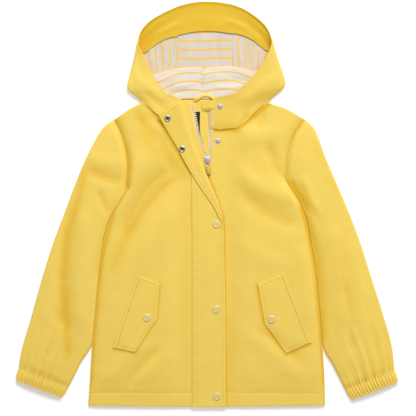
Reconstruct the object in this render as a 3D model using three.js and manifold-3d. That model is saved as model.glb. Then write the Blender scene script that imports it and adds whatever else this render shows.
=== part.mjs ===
// Kids raincoat laid flat on its back, front up, hood spread open and storm flap turned back at the neck.
// X runs across the coat, Y from hem to hood, Z up from the surface that it lies on. Sizes are millimetres.
// The origin is under the middle of the coat. Left and right are as seen from above, hood at the top.
import * as THREE from 'three';
import { mergeVertices } from 'three/addons/utils/BufferGeometryUtils.js';
import Module from 'manifold-3d';

const wasm = await Module();
wasm.setup();

// Cloth and seams
const CLOTH = 1.8; // coated outer cloth with its backing
const LINING = 1.2; // jersey lining of the hood
const TAPE = 1.0; // zip tape
const LABEL = 0.5;
const SEAM_GAP = 0.3; // left between two pieces at a seam
const FRONT_BASE = CLOTH + SEAM_GAP; // underside of the fronts, on the back panel
const FRONT_TOP = FRONT_BASE + CLOTH; // upper face of a front where it lies quite flat
const TAPE_LEVEL = FRONT_BASE + 0.8; // underside of the zip tapes
const REST_GAP = 0.5; // under a flat piece that lies on a folded front
const FACING_STEPS = 7;
const FACING_GAP = 1.6; // between the curved rim and its facing
const HEM_DEPTH = 23; // turned up at the bottom of fronts
const SLEEVE_HEIGHT = 6.4; // of a flattened sleeve, over both layers
const CUFF_PLEATS = 17; // gathers across one side of a cuff
const CUFF_PLEAT_DEPTH = 2.2;
const SNAP_CAP = 13.5; // diameters of the press studs
const SNAP_SOCKET = 11.5;
const SNAP_STUD = 9.5;

// Colours of the cloth and fittings
const YELLOW = 0xf2d24e;
const LINING_WHITE = 0xefe4da;
const PEARL = 0xe9cf78;
const SILVER = 0xc9c9cc;
const BLACK = 0x17161a;

// Edges of the body, from the shoulder down to the hem
const LEFT_ARMHOLE = [[-162, 148.5], [-148, 116.5], [-139.5, 76.5], [-142, 23.5]];
const LEFT_SIDE = [
  [-142, 23.5], [-175.5, -39], [-189.5, -122], [-196.5, -198], [-201.5, -249.5], [-205, -307.5], [-208, -352.5],
];
const RIGHT_ARMHOLE = [[170.5, 148.5], [151.5, 118.5], [140.5, 85], [136, 46]];
const RIGHT_SIDE = [
  [136, 46], [170.5, -14.5], [184.5, -80], [194, -150], [198.5, -198], [202, -246], [205.5, -302], [207, -352],
];
const LEFT_SHOULDER = [[-162, 148.5], [-136.5, 166], [-112, 179]];
const RIGHT_SHOULDER = [[106, 178], [138, 167], [170.5, 148.5]];
const LEFT_NECKLINE = [[-112, 179], [-100, 160], [-72, 139.5], [-23.5, 131]];
const RIGHT_NECKLINE = [[5, 133], [40, 130.5], [63, 141.5], [89, 163.5], [106, 178]];
const BACK_NECKLINE = [[-112, 179], [-82.5, 168.5], [-5.5, 160], [75, 168.5], [106, 178]];
const LEFT_CENTRE_EDGE = [[-23.5, 131], [-13.5, 106.5], [-4.5, 77.5], [-3, 42.5], [-3, -150], [-3, -354.5]];
const RIGHT_CENTRE_EDGE = [[5, 133], [4.5, 77.5], [3.5, 7.5], [3, -150], [3, -354.5]];

// Soft folds of the fronts: a ridge (or a trough, where rise is negative) along a line
const FRONT_FOLDS = [
  { from: [-131.5, 95], to: [-54.5, -1], width: 16, rise: 1.6 },
  { from: [-138.5, 32], to: [-73.5, -38], width: 13, rise: 1.3 },
  { from: [-100, 137], to: [-61.5, 49.5], width: 12, rise: 1.4 },
  { from: [-166.5, -80], to: [-180.5, -307.5], width: 14, rise: 1.4 },
  { from: [-138.5, -48.5], to: [-54.5, -167.5], width: 22, rise: 1.2 },
  { from: [-100, -167.5], to: [-51, -316], width: 20, rise: 1.0 },
  { from: [57.5, 112.5], to: [120.5, 49.5], width: 14, rise: 1.5 },
  { from: [50.5, 14.5], to: [134.5, 25], width: 12, rise: 1.4 },
  { from: [75, -38], to: [162.5, -101], width: 20, rise: 1.2 },
  { from: [162.5, -150], to: [176.5, -316], width: 15, rise: 1.5 },
  { from: [64.5, -115], to: [57.5, -307.5], width: 18, rise: 1.0 },
];
const FRONT_PUFF = 2.4; // how far the fronts stand off the back between seams
const FLAT_HALF_WIDTH = 34; // the fronts lie flat this far each side of the zip
const ZIP_LINE = 0.5;

// Sleeves: rows from the armhole to the cuff, outer edge and inner edge of the laid tube
const LEFT_SLEEVE = [
  { outer: [-162.5, 149], inner: [-142.5, 22.5], bulge: 1, rise: 0.4 },
  { outer: [-180.5, 136], inner: [-156.5, -0.5], bulge: 0.85, rise: 0.9 },
  { outer: [-205, 95], inner: [-176, -34.5], bulge: 0.4, rise: 1 },
  { outer: [-228.5, 41], inner: [-188, -101], bulge: 0.12, rise: 0.9 },
  { outer: [-248, -11.5], inner: [-195, -167.5], bulge: 0, rise: 0.9 },
  { outer: [-269, -67.5], inner: [-200, -216.5], bulge: 0, rise: 0.8 },
  { outer: [-288, -127], inner: [-206.5, -248], bulge: 0, rise: 0.8 },
  { outer: [-308, -199], inner: [-220, -274], bulge: 0, rise: 0.9 },
  { outer: [-323, -249.5], inner: [-233, -302], bulge: 0, rise: 1 },
  { outer: [-330, -287], inner: [-243, -321], bulge: 0, rise: 1 },
];
const RIGHT_SLEEVE = [
  { outer: [171.5, 149], inner: [137, 45], bulge: 1, rise: 0.4 },
  { outer: [187, 133.5], inner: [162, 9.5], bulge: 0.85, rise: 0.9 },
  { outer: [208, 81], inner: [180.5, -38], bulge: 0.4, rise: 1 },
  { outer: [228, 34], inner: [190.5, -101], bulge: 0.12, rise: 0.9 },
  { outer: [247.5, -11.5], inner: [197.5, -167.5], bulge: 0, rise: 0.9 },
  { outer: [268.5, -67.5], inner: [202, -216.5], bulge: 0, rise: 0.8 },
  { outer: [287.5, -127], inner: [207.5, -251.5], bulge: 0, rise: 0.8 },
  { outer: [308, -192], inner: [220.5, -277.5], bulge: 0, rise: 0.9 },
  { outer: [323, -246], inner: [232.5, -305.5], bulge: 0, rise: 1 },
  { outer: [328.5, -291], inner: [242, -325], bulge: 0, rise: 1 },
];
const SLEEVE_FOLDS = [
  { from: [-194.5, 14.5], to: [-261, -220], width: 11, rise: 1.3 },
  { from: [-219, 25], to: [-247, -80], width: 8, rise: -1.0 },
  { from: [-240, -220], to: [-292.5, -297], width: 7, rise: 1.0 },
  { from: [-271.5, -220], to: [-313.5, -283], width: 6, rise: 0.8 },
  { from: [194, 14.5], to: [250, -220], width: 11, rise: 1.2 },
  { from: [215, 25], to: [243, -80], width: 8, rise: -0.9 },
  { from: [243, -227], to: [288.5, -304], width: 7, rise: 1.0 },
  { from: [278, -220], to: [311.5, -286.5], width: 6, rise: 0.8 },
];
const LEFT_CUFF = [
  { outer: [-330, -288], inner: [-243.5, -321.5], bulge: 0, rise: 0.9 },
  { outer: [-333.5, -298], inner: [-248, -330], bulge: 0, rise: 1 },
  { outer: [-334.5, -308], inner: [-254, -338], bulge: 0, rise: 0.9 },
];
const RIGHT_CUFF = [
  { outer: [328.5, -291.5], inner: [242, -325.5], bulge: 0, rise: 0.9 },
  { outer: [333, -301.5], inner: [247.5, -335], bulge: 0, rise: 1 },
  { outer: [334.5, -310.5], inner: [253, -342], bulge: 0, rise: 0.9 },
];

// Hood sides: each row runs from the seam of the centre strip along the underside, round the outer fold
// at half height turn, and back over the top to the rim. Both sides share their heights above the surface.
const HOOD_LEVELS = [
  { seam: 294.5, turn: 1, top: 5, rimUp: 8 },
  { seam: 284, turn: 1, top: 5.2, rimUp: 8.5 },
  { seam: 272, turn: 1.5, top: 6, rimUp: 10 },
  { seam: 259.5, turn: 3, top: 8, rimUp: 12.5 },
  { seam: 247.5, turn: 5, top: 12.5, rimUp: 17 },
  { seam: 233.5, turn: 6, top: 15, rimUp: 18.5 },
  { seam: 217.5, turn: 6.5, top: 15, rimUp: 17.5 },
  { seam: 200, turn: 6.5, top: 14, rimUp: 15 },
  { seam: 186, turn: 5.5, top: 12, rimUp: 12 },
  { seam: 175.5, turn: 4.5, top: 10, rimUp: 8.2 },
  { seam: 166.5, turn: 4, top: 8.2, rimUp: 5.4 },
];
const HOOD_SEAM = { left: -50.5, right: 44 }; // the seams between the sides and the centre strip
const LEFT_HOOD = [
  { outer: [-50.5, 335.5], mid: [-50.5, 342.5], rim: [-50.5, 347] },
  { outer: [-71, 322.5], mid: [-76, 329], rim: [-80.5, 333] },
  { outer: [-93.5, 308.5], mid: [-99, 315], rim: [-103, 318.5] },
  { outer: [-111.5, 293], mid: [-115, 298], rim: [-116.5, 301.5] },
  { outer: [-123, 273.5], mid: [-123.5, 277.5], rim: [-121, 280.5] },
  { outer: [-129, 251], mid: [-122, 258], rim: [-112.5, 263.5] },
  { outer: [-136, 223.5], mid: [-117.5, 226.5], rim: [-97, 230.5] },
  { outer: [-139.5, 203.5], mid: [-111, 201], rim: [-80, 203.5] },
  { outer: [-130.5, 193], mid: [-100, 188], rim: [-66.5, 191.5] },
  { outer: [-121.5, 186.5], mid: [-91, 174.5], rim: [-44.5, 182] },
  { outer: [-117.5, 183], mid: [-86, 156.5], rim: [-31, 133.5] },
];
const RIGHT_HOOD = [
  { outer: [44, 337], mid: [44, 344], rim: [44, 350] },
  { outer: [60.5, 329.5], mid: [64, 336.5], rim: [67, 340.5] },
  { outer: [86.5, 310.5], mid: [93, 315], rim: [98, 317.5] },
  { outer: [102, 295], mid: [106.5, 300], rim: [109, 301.5] },
  { outer: [116, 277], mid: [117, 280.5], rim: [113.5, 284] },
  { outer: [125, 252.5], mid: [118, 261.5], rim: [108, 267] },
  { outer: [134, 227], mid: [113.5, 230], rim: [88.5, 234] },
  { outer: [137, 208], mid: [106, 203.5], rim: [64.5, 208] },
  { outer: [126.5, 197], mid: [89, 186], rim: [44.5, 192.5] },
  { outer: [115.5, 187.5], mid: [75, 170.5], rim: [10.5, 183] },
  { outer: [111, 183], mid: [68, 148.5], rim: [4.5, 135] },
];
// Centre strip of the hood: rows across it, from the left seam to the right seam
const HOOD_CENTRE_RIM = [[-49.5, 347.5], [-26.5, 353], [-4.5, 355], [19, 354], [43, 350]];
const HOOD_NECK = [[-49.5, 166], [-5.5, 161], [43, 166]];
const HOOD_LIP = [ // of the centre strip, down from the rim
  { down: 70, up: 0 }, { down: 40, up: 0 }, { down: 24, up: 0 },
  { down: 12, up: 1 }, { down: 5, up: 4.4 }, { down: 0, up: 8 },
];
const FACING_WIDTH = [8, 14, 27, 39, 46, 50, 46, 50, 46, 39, 27, 14, 8]; // along the rim, left to right

// Lining of the hood, seen inside it
const LEFT_LINING = {
  outer: [[-82.5, 283], [-107, 270], [-115.5, 252.5], [-107, 224.5]],
  inner: [[-51, 295.5], [-51, 275.5], [-51, 256], [-51, 231.5]],
};
const RIGHT_LINING = {
  inner: [[44.5, 299], [44.5, 277], [44.5, 256], [44.5, 233.5]],
  outer: [[80.5, 286.5], [104, 270], [112, 252.5], [101.5, 224.5]],
};
const CENTRE_LINING = { left: [[-50, 296], [-50, 270], [-50, 233.5]], right: [[44, 299], [44, 270], [44, 235]] };
const NECK_LINING_TOP = [
  [-107, 221], [-94, 229], [-65, 237], [-13.5, 241.5], [42.5, 242.5], [87, 232.5], [99.5, 223],
];
const NECK_LINING_BOTTOM = [
  [-86, 184.5], [-72, 184], [-51, 183.5], [-5.5, 183], [40, 183.5], [66.5, 184], [78.5, 184.5],
];
const LINING_LAP = { from: 210.5, to: 217.5 }; // the neck lining climbs over the others between these

// Strip, label and loop at the back of the neck
const NECK_STRIP = {
  upper: [[-72, 182.5], [-5.5, 182], [61, 182.5]],
  lower: [[-72, 168.5], [-5.5, 163], [61, 168.5]],
};
const NECK_LABEL = { left: [[-24, 161.5], [-20, 125.5]], right: [[3.5, 161.5], [3.5, 125.5]] };
const LOOP = {
  outer: [[-18.5, 179.5], [-15, 189], [-1, 194.5], [13, 189.5], [17.5, 180]],
  inner: [[-12.5, 179.5], [-10, 185.5], [-0.5, 189], [9, 186], [12, 180]],
  thickness: 1.4,
};

// Storm flap: turned back rows from the neck down, then the closed length
const TURNED_FLAP = [
  { seam: [-52.5, 175.5], roll: [-46, 180], free: [-85, 156.5], lift: 11.6, rise: 4.4 },
  { seam: [-44.5, 144], roll: [-34, 145], free: [-68.5, 127], lift: 8.2, rise: 4.4 },
  { seam: [-37, 107.5], roll: [-21.5, 107.5], free: [-50.5, 96.5], lift: 4.8, rise: 4.4 },
  { seam: [-30.5, 77.5], roll: [-10, 76.5], free: [-36, 69.5], lift: 4.2, rise: 4.4 },
  { seam: [-27, 46], roll: [1, 48.5], free: [-20, 42.5], lift: 4.2, rise: 4.4 },
  { seam: [-27, 18], roll: [11.5, 23.5], free: [-5.5, 20.5], lift: 4.2, rise: 4.4 },
  { seam: [-27, -6.5], roll: [21.5, -1], free: [10.5, -2.5], lift: 4.2, rise: 4.4 },
  { seam: [-27, -26.5], roll: [28.5, -25], free: [22, -25], lift: 4.2, rise: 4.4 },
];
const FLAP_SEAM_EDGE = [[-27, -27.5], [-27, -167.5], [-27, -355]];
const FLAP_FREE_EDGE = [[28.5, -25.5], [30.5, -97.5], [32.5, -220], [33, -355]];

// Zip
const LEFT_TAPE = {
  outer: [[-32, 181.5], [-23, 131], [-13, 106.5], [-3.5, 77.5], [-2.5, 42.5], [-2.5, -339]],
  inner: [[-26, 182], [-15, 132], [-8, 106.5], [-1, 83], [-0.5, 42.5], [-0.5, -339]],
};
const RIGHT_TAPE = {
  inner: [[-11.5, 179], [-10, 123], [-3, 98.5], [1.5, 83], [1.5, 42.5], [1.5, -339]],
  outer: [[3.5, 179], [3.5, 123], [3.5, 98.5], [3.5, 83], [2.5, 42.5], [2.5, -339]],
};
const GUARD = { // the tab over the top of the right tape, climbing on to the edge of the hood
  left: [[-8.6, 181.5], [-9, 172], [-8.4, 163]],
  right: [[12.8, 181], [13, 172], [12.2, 163.6]],
  low: 5.4,
  climb: { height: 3.4, from: -8, to: 8 },
  thickness: 1.0,
};
const SLIDER = [0.5, 78.5];

// Pocket flaps: the sewn edge and the free edge, top to bottom
const LEFT_POCKET = {
  sewn: [[-116.5, -125], [-137.5, -188.5], [-158.5, -252]],
  free: [[-83, -139], [-88.5, -202], [-126.5, -259]],
};
const RIGHT_POCKET = {
  sewn: [[129, -122], [152.5, -183], [176, -243.5]],
  free: [[89, -140.5], [101, -209.5], [139, -261]],
};
const LEFT_WELT = {
  sewn: [[-122.5, -125], [-144, -188.5], [-165, -251.5]],
  free: [[-117, -125.5], [-138, -189], [-159, -252]],
};
const RIGHT_WELT = {
  sewn: [[135, -121.5], [159, -183], [182.5, -242.5]],
  free: [[129.5, -122.5], [153, -183], [176.5, -244]],
};
const WELT_CLOTH = 1.2;

const UP = new THREE.Vector3(0, 0, 1);
const group = new THREE.Group();

function material(colour, roughness, metalness = 0) {
  return new THREE.MeshStandardMaterial({ color: colour, roughness, metalness });
}

const coated = material(YELLOW, 0.55);
const lining = material(LINING_WHITE, 0.9);
const pearl = material(PEARL, 0.3, 0.2);
const metal = material(SILVER, 0.3, 1);
const black = material(BLACK, 0.8);

// Adds one piece, turning its faces outwards if they were laid the other way
function addPiece(name, geometry, look) {
  if (signedVolume(geometry) < 0) {
    const index = geometry.index.array;
    for (let k = 0; k < index.length; k += 3) {
      [index[k], index[k + 1]] = [index[k + 1], index[k]];
    }
  }
  geometry.computeVertexNormals();
  const mesh = new THREE.Mesh(geometry, look);
  mesh.name = name;
  group.add(mesh);
  return mesh;
}

function signedVolume(geometry) {
  const at = geometry.attributes.position;
  const index = geometry.index.array;
  const corner = (k) => new THREE.Vector3().fromBufferAttribute(at, index[k]);
  let total = 0;
  for (let k = 0; k < index.length; k += 3) {
    total += corner(k).dot(corner(k + 1).cross(corner(k + 2)));
  }
  return total;
}

function closedGeometry(points, faces) {
  const geometry = new THREE.BufferGeometry();
  const numbers = points.flatMap((p) => [p.x, p.y, p.z]);
  geometry.setAttribute('position', new THREE.Float32BufferAttribute(numbers, 3));
  geometry.setIndex(faces.flat());
  return geometry;
}

// Smooth line through the points of a table, cut into equal steps
function smooth(points, steps) {
  const places = points.map(([x, y, z = 0]) => new THREE.Vector3(x, y, z));
  return new THREE.CatmullRomCurve3(places, false, 'centripetal').getSpacedPoints(steps);
}

// One line made of several smooth stretches, each with its own number of steps
function joined(...stretches) {
  return stretches.flatMap(([points, steps], k) => smooth(points, steps).slice(k ? 1 : 0));
}

// Grid of points filled in between four edges that meet at the corners
function filled(top, bottom, left, right) {
  const rows = left.length - 1;
  const columns = top.length - 1;
  return left.map((leftPoint, i) => top.map((topPoint, j) => {
    const u = j / columns;
    const v = i / rows;
    const point = new THREE.Vector3();
    point.addScaledVector(topPoint, 1 - v).addScaledVector(bottom[j], v);
    point.addScaledVector(leftPoint, 1 - u).addScaledVector(right[i], u);
    point.addScaledVector(top[0], -(1 - u) * (1 - v)).addScaledVector(top[columns], -u * (1 - v));
    point.addScaledVector(bottom[0], -(1 - u) * v).addScaledVector(bottom[columns], -u * v);
    return point;
  }));
}

// Grid ruled between two lines, with a number of columns from one to the other
function ruled(first, last, columns) {
  const shares = Array.from({ length: columns + 1 }, (_, j) => j / columns);
  return first.map((start, i) => shares.map((share) => start.clone().lerp(last[i], share)));
}

function raised(grid, height) {
  return grid.map((row) => row.map((p) => new THREE.Vector3(p.x, p.y, height(p.x, p.y))));
}

function normalAt(grid, i, j) {
  const down = grid[Math.min(i + 1, grid.length - 1)][j].clone().sub(grid[Math.max(i - 1, 0)][j]);
  const across = grid[i][Math.min(j + 1, grid[0].length - 1)].clone().sub(grid[i][Math.max(j - 1, 0)]);
  return down.cross(across).normalize();
}

// Moves every point of a grid out by a distance, along its own normal or along one given direction
function movedOut(grid, distance, direction) {
  const way = (i, j) => direction ?? normalAt(grid, i, j);
  return grid.map((row, i) => row.map((p, j) => p.clone().addScaledVector(way(i, j), distance)));
}

// Two triangles on four corners that are given in turn round them
function quad(a, b, c, d) {
  return [[a, b, c], [a, c, d]];
}

// Closed wall of cloth between two grids of the same size
function wallBetween(low, high) {
  const rows = low.length;
  const columns = low[0].length;
  const points = [...low.flat(), ...high.flat()];
  const under = (i, j) => i * columns + j;
  const over = (i, j) => rows * columns + i * columns + j;
  const faces = [];
  for (let i = 0; i < rows - 1; i++) {
    for (let j = 0; j < columns - 1; j++) {
      faces.push(...quad(over(i, j), over(i + 1, j), over(i + 1, j + 1), over(i, j + 1)));
      faces.push(...quad(under(i, j), under(i, j + 1), under(i + 1, j + 1), under(i + 1, j)));
    }
  }
  const end = rows - 1;
  for (let j = 0; j < columns - 1; j++) {
    faces.push(...quad(under(0, j), over(0, j), over(0, j + 1), under(0, j + 1)));
    faces.push(...quad(under(end, j), under(end, j + 1), over(end, j + 1), over(end, j)));
  }
  const side = columns - 1;
  for (let i = 0; i < rows - 1; i++) {
    faces.push(...quad(under(i, 0), under(i + 1, 0), over(i + 1, 0), over(i, 0)));
    faces.push(...quad(under(i, side), over(i, side), over(i + 1, side), under(i + 1, side)));
  }
  return closedGeometry(points, faces);
}

// Panel lying on something: its underside follows a height and its wall stands straight up
function panel(grid, height, thickness) {
  const low = raised(grid, height);
  return wallBetween(low, movedOut(low, thickness, UP));
}

// Open tube of cloth between an outer and an inner set of rings
function tubeBetween(outer, inner) {
  const stations = outer.length;
  const around = outer[0].length;
  const points = [...outer.flat(), ...inner.flat()];
  const out = (k, m) => k * around + (m % around);
  const within = (k, m) => stations * around + k * around + (m % around);
  const faces = [];
  for (let k = 0; k < stations - 1; k++) {
    for (let m = 0; m < around; m++) {
      faces.push(...quad(out(k, m), out(k, m + 1), out(k + 1, m + 1), out(k + 1, m)));
      faces.push(...quad(within(k, m), within(k + 1, m), within(k + 1, m + 1), within(k, m + 1)));
    }
  }
  const end = stations - 1;
  for (let m = 0; m < around; m++) {
    faces.push(...quad(out(0, m), within(0, m), within(0, m + 1), out(0, m + 1)));
    faces.push(...quad(out(end, m), out(end, m + 1), within(end, m + 1), within(end, m)));
  }
  return closedGeometry(points, faces);
}

// Height that a table of folds adds at a point, each fading at its ends
function foldHeight(folds, x, y) {
  return folds.reduce((sum, { from, to, width, rise }) => {
    const along = [to[0] - from[0], to[1] - from[1]];
    const length = Math.hypot(...along);
    const t = ((x - from[0]) * along[0] + (y - from[1]) * along[1]) / length ** 2;
    const off = Math.abs((x - from[0]) * along[1] - (y - from[1]) * along[0]) / length;
    const past = Math.max(0, Math.abs(t - 0.5) - 0.3) * length;
    return sum + rise * Math.exp(-((off / width) ** 2) - (past / (1.6 * width)) ** 2);
  }, 0);
}

function smoothStep(from, to, value) {
  const t = Math.min(1, Math.max(0, (value - from) / (to - from)));
  return t * t * (3 - 2 * t);
}

// Underside of the fronts: flat by the zip and the seams, puffed and folded between them
function frontHeight(x, y) {
  const fromZip = smoothStep(FLAT_HALF_WIDTH, 2.2 * FLAT_HALF_WIDTH, Math.abs(x - ZIP_LINE));
  const fromHem = smoothStep(HEM_LINE - 8, HEM_LINE + 40, y);
  const fromNeck = 1 - smoothStep(NECK_LEVEL - 30, NECK_LEVEL + 10, y);
  const loose = Math.max(-0.9, FRONT_PUFF + foldHeight(FRONT_FOLDS, x, y));
  return FRONT_BASE + loose * fromZip * (0.25 + 0.75 * fromHem) * fromNeck;
}

const HEM_LINE = LEFT_SIDE.at(-1)[1] + HEM_DEPTH;
const NECK_LEVEL = LEFT_NECKLINE[0][1];
const frontTop = (x, y) => frontHeight(x, y) + CLOTH;

// Body panels
const SIDE_ROWS = [6, 12];
const ACROSS_FRONT = { shoulder: 4, neckline: 6 };

function addBody() {
  const leftEdge = joined([LEFT_ARMHOLE, SIDE_ROWS[0]], [LEFT_SIDE, SIDE_ROWS[1]]);
  const rightEdge = joined([RIGHT_ARMHOLE, SIDE_ROWS[0]], [RIGHT_SIDE, SIDE_ROWS[1]]);
  const rows = SIDE_ROWS[0] + SIDE_ROWS[1];
  const across = ACROSS_FRONT.shoulder + ACROSS_FRONT.neckline;
  const leftTop = joined([LEFT_SHOULDER, ACROSS_FRONT.shoulder], [LEFT_NECKLINE, ACROSS_FRONT.neckline]);
  const rightTop = joined([RIGHT_NECKLINE, ACROSS_FRONT.neckline], [RIGHT_SHOULDER, ACROSS_FRONT.shoulder]);
  const leftCentre = smooth(LEFT_CENTRE_EDGE, rows);
  const rightCentre = smooth(RIGHT_CENTRE_EDGE, rows);
  const leftHem = smooth([LEFT_SIDE.at(-1), LEFT_CENTRE_EDGE.at(-1)], across);
  const rightHem = smooth([RIGHT_CENTRE_EDGE.at(-1), RIGHT_SIDE.at(-1)], across);
  const leftGrid = filled(leftTop, leftHem, leftEdge, leftCentre);
  const rightGrid = filled(rightTop, rightHem, rightCentre, rightEdge);
  addPiece('left_front', panel(leftGrid, frontHeight, CLOTH), coated);
  addPiece('right_front', panel(rightGrid, frontHeight, CLOTH), coated);
  const backTop = joined([LEFT_SHOULDER, 3], [BACK_NECKLINE, 8], [RIGHT_SHOULDER, 3]);
  const backHem = smooth([LEFT_SIDE.at(-1), RIGHT_SIDE.at(-1)], 14);
  addPiece('back', panel(filled(backTop, backHem, leftEdge, rightEdge), () => 0, CLOTH), coated);
}

// Ring of a flattened tube: along the bottom, round the inner edge, back over the top, round the outer edge
const RING_SIDE = 8;
const RING_TURN = 3;

function tubeRing({ outer, inner, bulge }, height, inset, sideSteps, seamShape = () => 0) {
  const start = new THREE.Vector3(...outer, 0);
  const end = new THREE.Vector3(...inner, 0);
  const across = end.clone().sub(start);
  const width = across.length();
  across.normalize();
  const along = new THREE.Vector3(-across.y, across.x, 0);
  const half = height(start.x, start.y, 0) / 2;
  const place = (distance, up) => {
    const u = distance / width;
    return start.clone().addScaledVector(across, distance)
      .addScaledVector(along, bulge * seamShape(u)).setZ(up);
  };
  const ring = [];
  const turn = half - inset;
  for (let k = 0; k <= sideSteps; k++) {
    ring.push(place(half + (width - 2 * half) * k / sideSteps, inset));
  }
  for (let k = 1; k < RING_TURN; k++) {
    const angle = Math.PI * k / RING_TURN;
    ring.push(place(width - half + turn * Math.sin(angle), half - turn * Math.cos(angle)));
  }
  for (let k = sideSteps; k >= 0; k--) {
    const distance = half + (width - 2 * half) * k / sideSteps;
    const point = place(distance, 0);
    ring.push(point.setZ(height(point.x, point.y, distance / width) - inset));
  }
  for (let k = RING_TURN - 1; k > 0; k--) {
    const angle = Math.PI * k / RING_TURN;
    ring.push(place(half - turn * Math.sin(angle), half - turn * Math.cos(angle)));
  }
  return ring;
}

// How far an armhole stands off its chord, from the shoulder at 0 to the underarm at 1
function chordShape(armhole) {
  const line = smooth(armhole, 24);
  const chord = line.at(-1).clone().sub(line[0]);
  const length = chord.length();
  const along = new THREE.Vector3(-chord.y, chord.x, 0).divideScalar(length);
  const offs = line.map((p) => {
    const from = p.clone().sub(line[0]);
    return { u: from.dot(chord) / length ** 2, off: from.dot(along) };
  });
  return (u) => {
    const k = Math.max(1, offs.findIndex((entry) => entry.u >= u));
    const [a, b] = u >= 1 ? offs.slice(-2) : [offs[k - 1], offs[k]];
    return a.off + (b.off - a.off) * (u - a.u) / (b.u - a.u);
  };
}

// Rows of a table, with smooth rows added between them
function tableRows(table, count) {
  const names = Object.keys(table[0]);
  const lines = Object.fromEntries(names.map((name) => {
    const isPoint = Array.isArray(table[0][name]);
    const flat = table.map((row, k) => (isPoint ? row[name] : [k, row[name]]));
    const points = flat.map(([x, y]) => new THREE.Vector3(x, y, 0));
    const line = new THREE.CatmullRomCurve3(points, false, 'centripetal').getPoints(count);
    return [name, line.map((p) => (isPoint ? [p.x, p.y] : p.y))];
  }));
  const row = (k) => Object.fromEntries(names.map((name) => [name, lines[name][k]]));
  return Array.from({ length: count + 1 }, (_, k) => row(k));
}

const TUBE_WALL = CLOTH - SEAM_GAP;
const SLEEVE_ROWS = 13;

function addSleeve(name, table, armhole) {
  const seamShape = chordShape(armhole);
  const heightOf = (rise) => (x, y, u) => {
    const swell = SLEEVE_HEIGHT * (0.86 + 0.14 * Math.sin(Math.PI * u));
    const folds = foldHeight(SLEEVE_FOLDS, x, y) * Math.sin(Math.PI * u);
    return swell + rise * Math.min(1.4, Math.max(-0.8, folds));
  };
  const rows = tableRows(table, SLEEVE_ROWS);
  const outer = rows.map((row) => tubeRing(row, heightOf(row.rise), 0, RING_SIDE, seamShape));
  const inner = rows.map((row) => tubeRing(row, heightOf(row.rise), TUBE_WALL, RING_SIDE, seamShape));
  addPiece(name, tubeBetween(outer, inner), coated);
}

function addCuff(name, table) {
  const steps = 3 * CUFF_PLEATS;
  const heightOf = (rise) => (x, y, u) => {
    const pleat = 0.5 + 0.5 * Math.cos(2 * Math.PI * CUFF_PLEATS * u);
    return SLEEVE_HEIGHT * 0.9 + rise * CUFF_PLEAT_DEPTH * pleat * (u > 0 && u < 1 ? 1 : 0);
  };
  const outer = table.map((row) => tubeRing(row, heightOf(row.rise), 0, steps));
  const inner = table.map((row) => tubeRing(row, heightOf(0), TUBE_WALL, steps));
  addPiece(name, tubeBetween(outer, inner), coated);
}

// Hood sides
const HOOD_ROWS = 20;
const HOOD_STEPS = { under: 4, turn: 5, over: 6 };
const CENTRE_STEPS = { across: 6, down: 16 };
const FACING_ROWS = [9, 8, 7, 6, 5, 4, 3, 2, 1, 0]; // of each hood side that the facing runs along

function hoodRow({ seam, outer, mid, rim, turn, top, rimUp }) {
  const toOuter = new THREE.Vector2(outer[0] - seam[0], outer[1] - seam[1]).normalize();
  const low = [outer[0] - toOuter.x * turn * 1.2, outer[1] - toOuter.y * turn * 1.2];
  const near = [outer[0] + (mid[0] - outer[0]) * 0.45, outer[1] + (mid[1] - outer[1]) * 0.45];
  const under = smooth([[...seam, 0], [...low, 0]], HOOD_STEPS.under);
  const line = [[...low, 0], [...outer, turn], [...near, top * 0.86], [...mid, top], [...rim, rimUp]];
  const over = smooth(line, HOOD_STEPS.turn + HOOD_STEPS.over);
  return [...under, ...over.slice(1)].map((p) => p.setZ(Math.max(0, p.z)));
}

function hoodGrid(table, seamX) {
  const rows = table.map((row, k) => ({ ...row, ...HOOD_LEVELS[k], seam: [seamX, HOOD_LEVELS[k].seam] }));
  return tableRows(rows, HOOD_ROWS).map(hoodRow);
}

// Facing follows the inside of the rim: distances are measured back from the rim along each row
function backFromRim(row, distance) {
  let left = distance;
  for (let k = row.length - 1; k > 0; k--) {
    const step = row[k].distanceTo(row[k - 1]);
    if (left <= step) return row[k].clone().lerp(row[k - 1], left / step);
    left -= step;
  }
  return row[0].clone();
}

function centreRows() {
  const rim = smooth(HOOD_CENTRE_RIM, CENTRE_STEPS.across);
  const neck = smooth(HOOD_NECK, CENTRE_STEPS.across);
  return rim.map((top, k) => {
    const lip = HOOD_LIP.map(({ down, up }) => [top.x, top.y - down, up]);
    const row = smooth([[neck[k].x, neck[k].y, 0], ...lip], CENTRE_STEPS.down);
    return row.map((p) => p.setZ(Math.max(0, p.z)));
  });
}

function addHood() {
  const left = hoodGrid(LEFT_HOOD, HOOD_SEAM.left);
  const right = hoodGrid(RIGHT_HOOD, HOOD_SEAM.right);
  const centre = centreRows();
  addPiece('hood_left', wallBetween(left, movedOut(left, -CLOTH)), coated);
  addPiece('hood_right', wallBetween(right, movedOut(right, CLOTH)), coated);
  addPiece('hood_centre', wallBetween(centre, movedOut(centre, CLOTH, UP)), coated);

  // The facing lies on the inside of the rim from one corner over the top to the other
  const leftRays = FACING_ROWS.map((k) => left[k]);
  const rightRays = FACING_ROWS.toReversed().map((k) => right[k]);
  const rays = [...leftRays, ...centre.slice(1, -1), ...rightRays];
  const facing = rays.map((row, k) => {
    const width = facingWidth(k / (rays.length - 1));
    const shares = Array.from({ length: FACING_STEPS + 1 }, (_, j) => 1 - j / FACING_STEPS);
    return shares.map((share) => backFromRim(row, width * share));
  });
  const inside = movedOut(facing, CLOTH + FACING_GAP);
  addPiece('hood_facing', wallBetween(inside, movedOut(inside, LINING)), coated);
}

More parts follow.
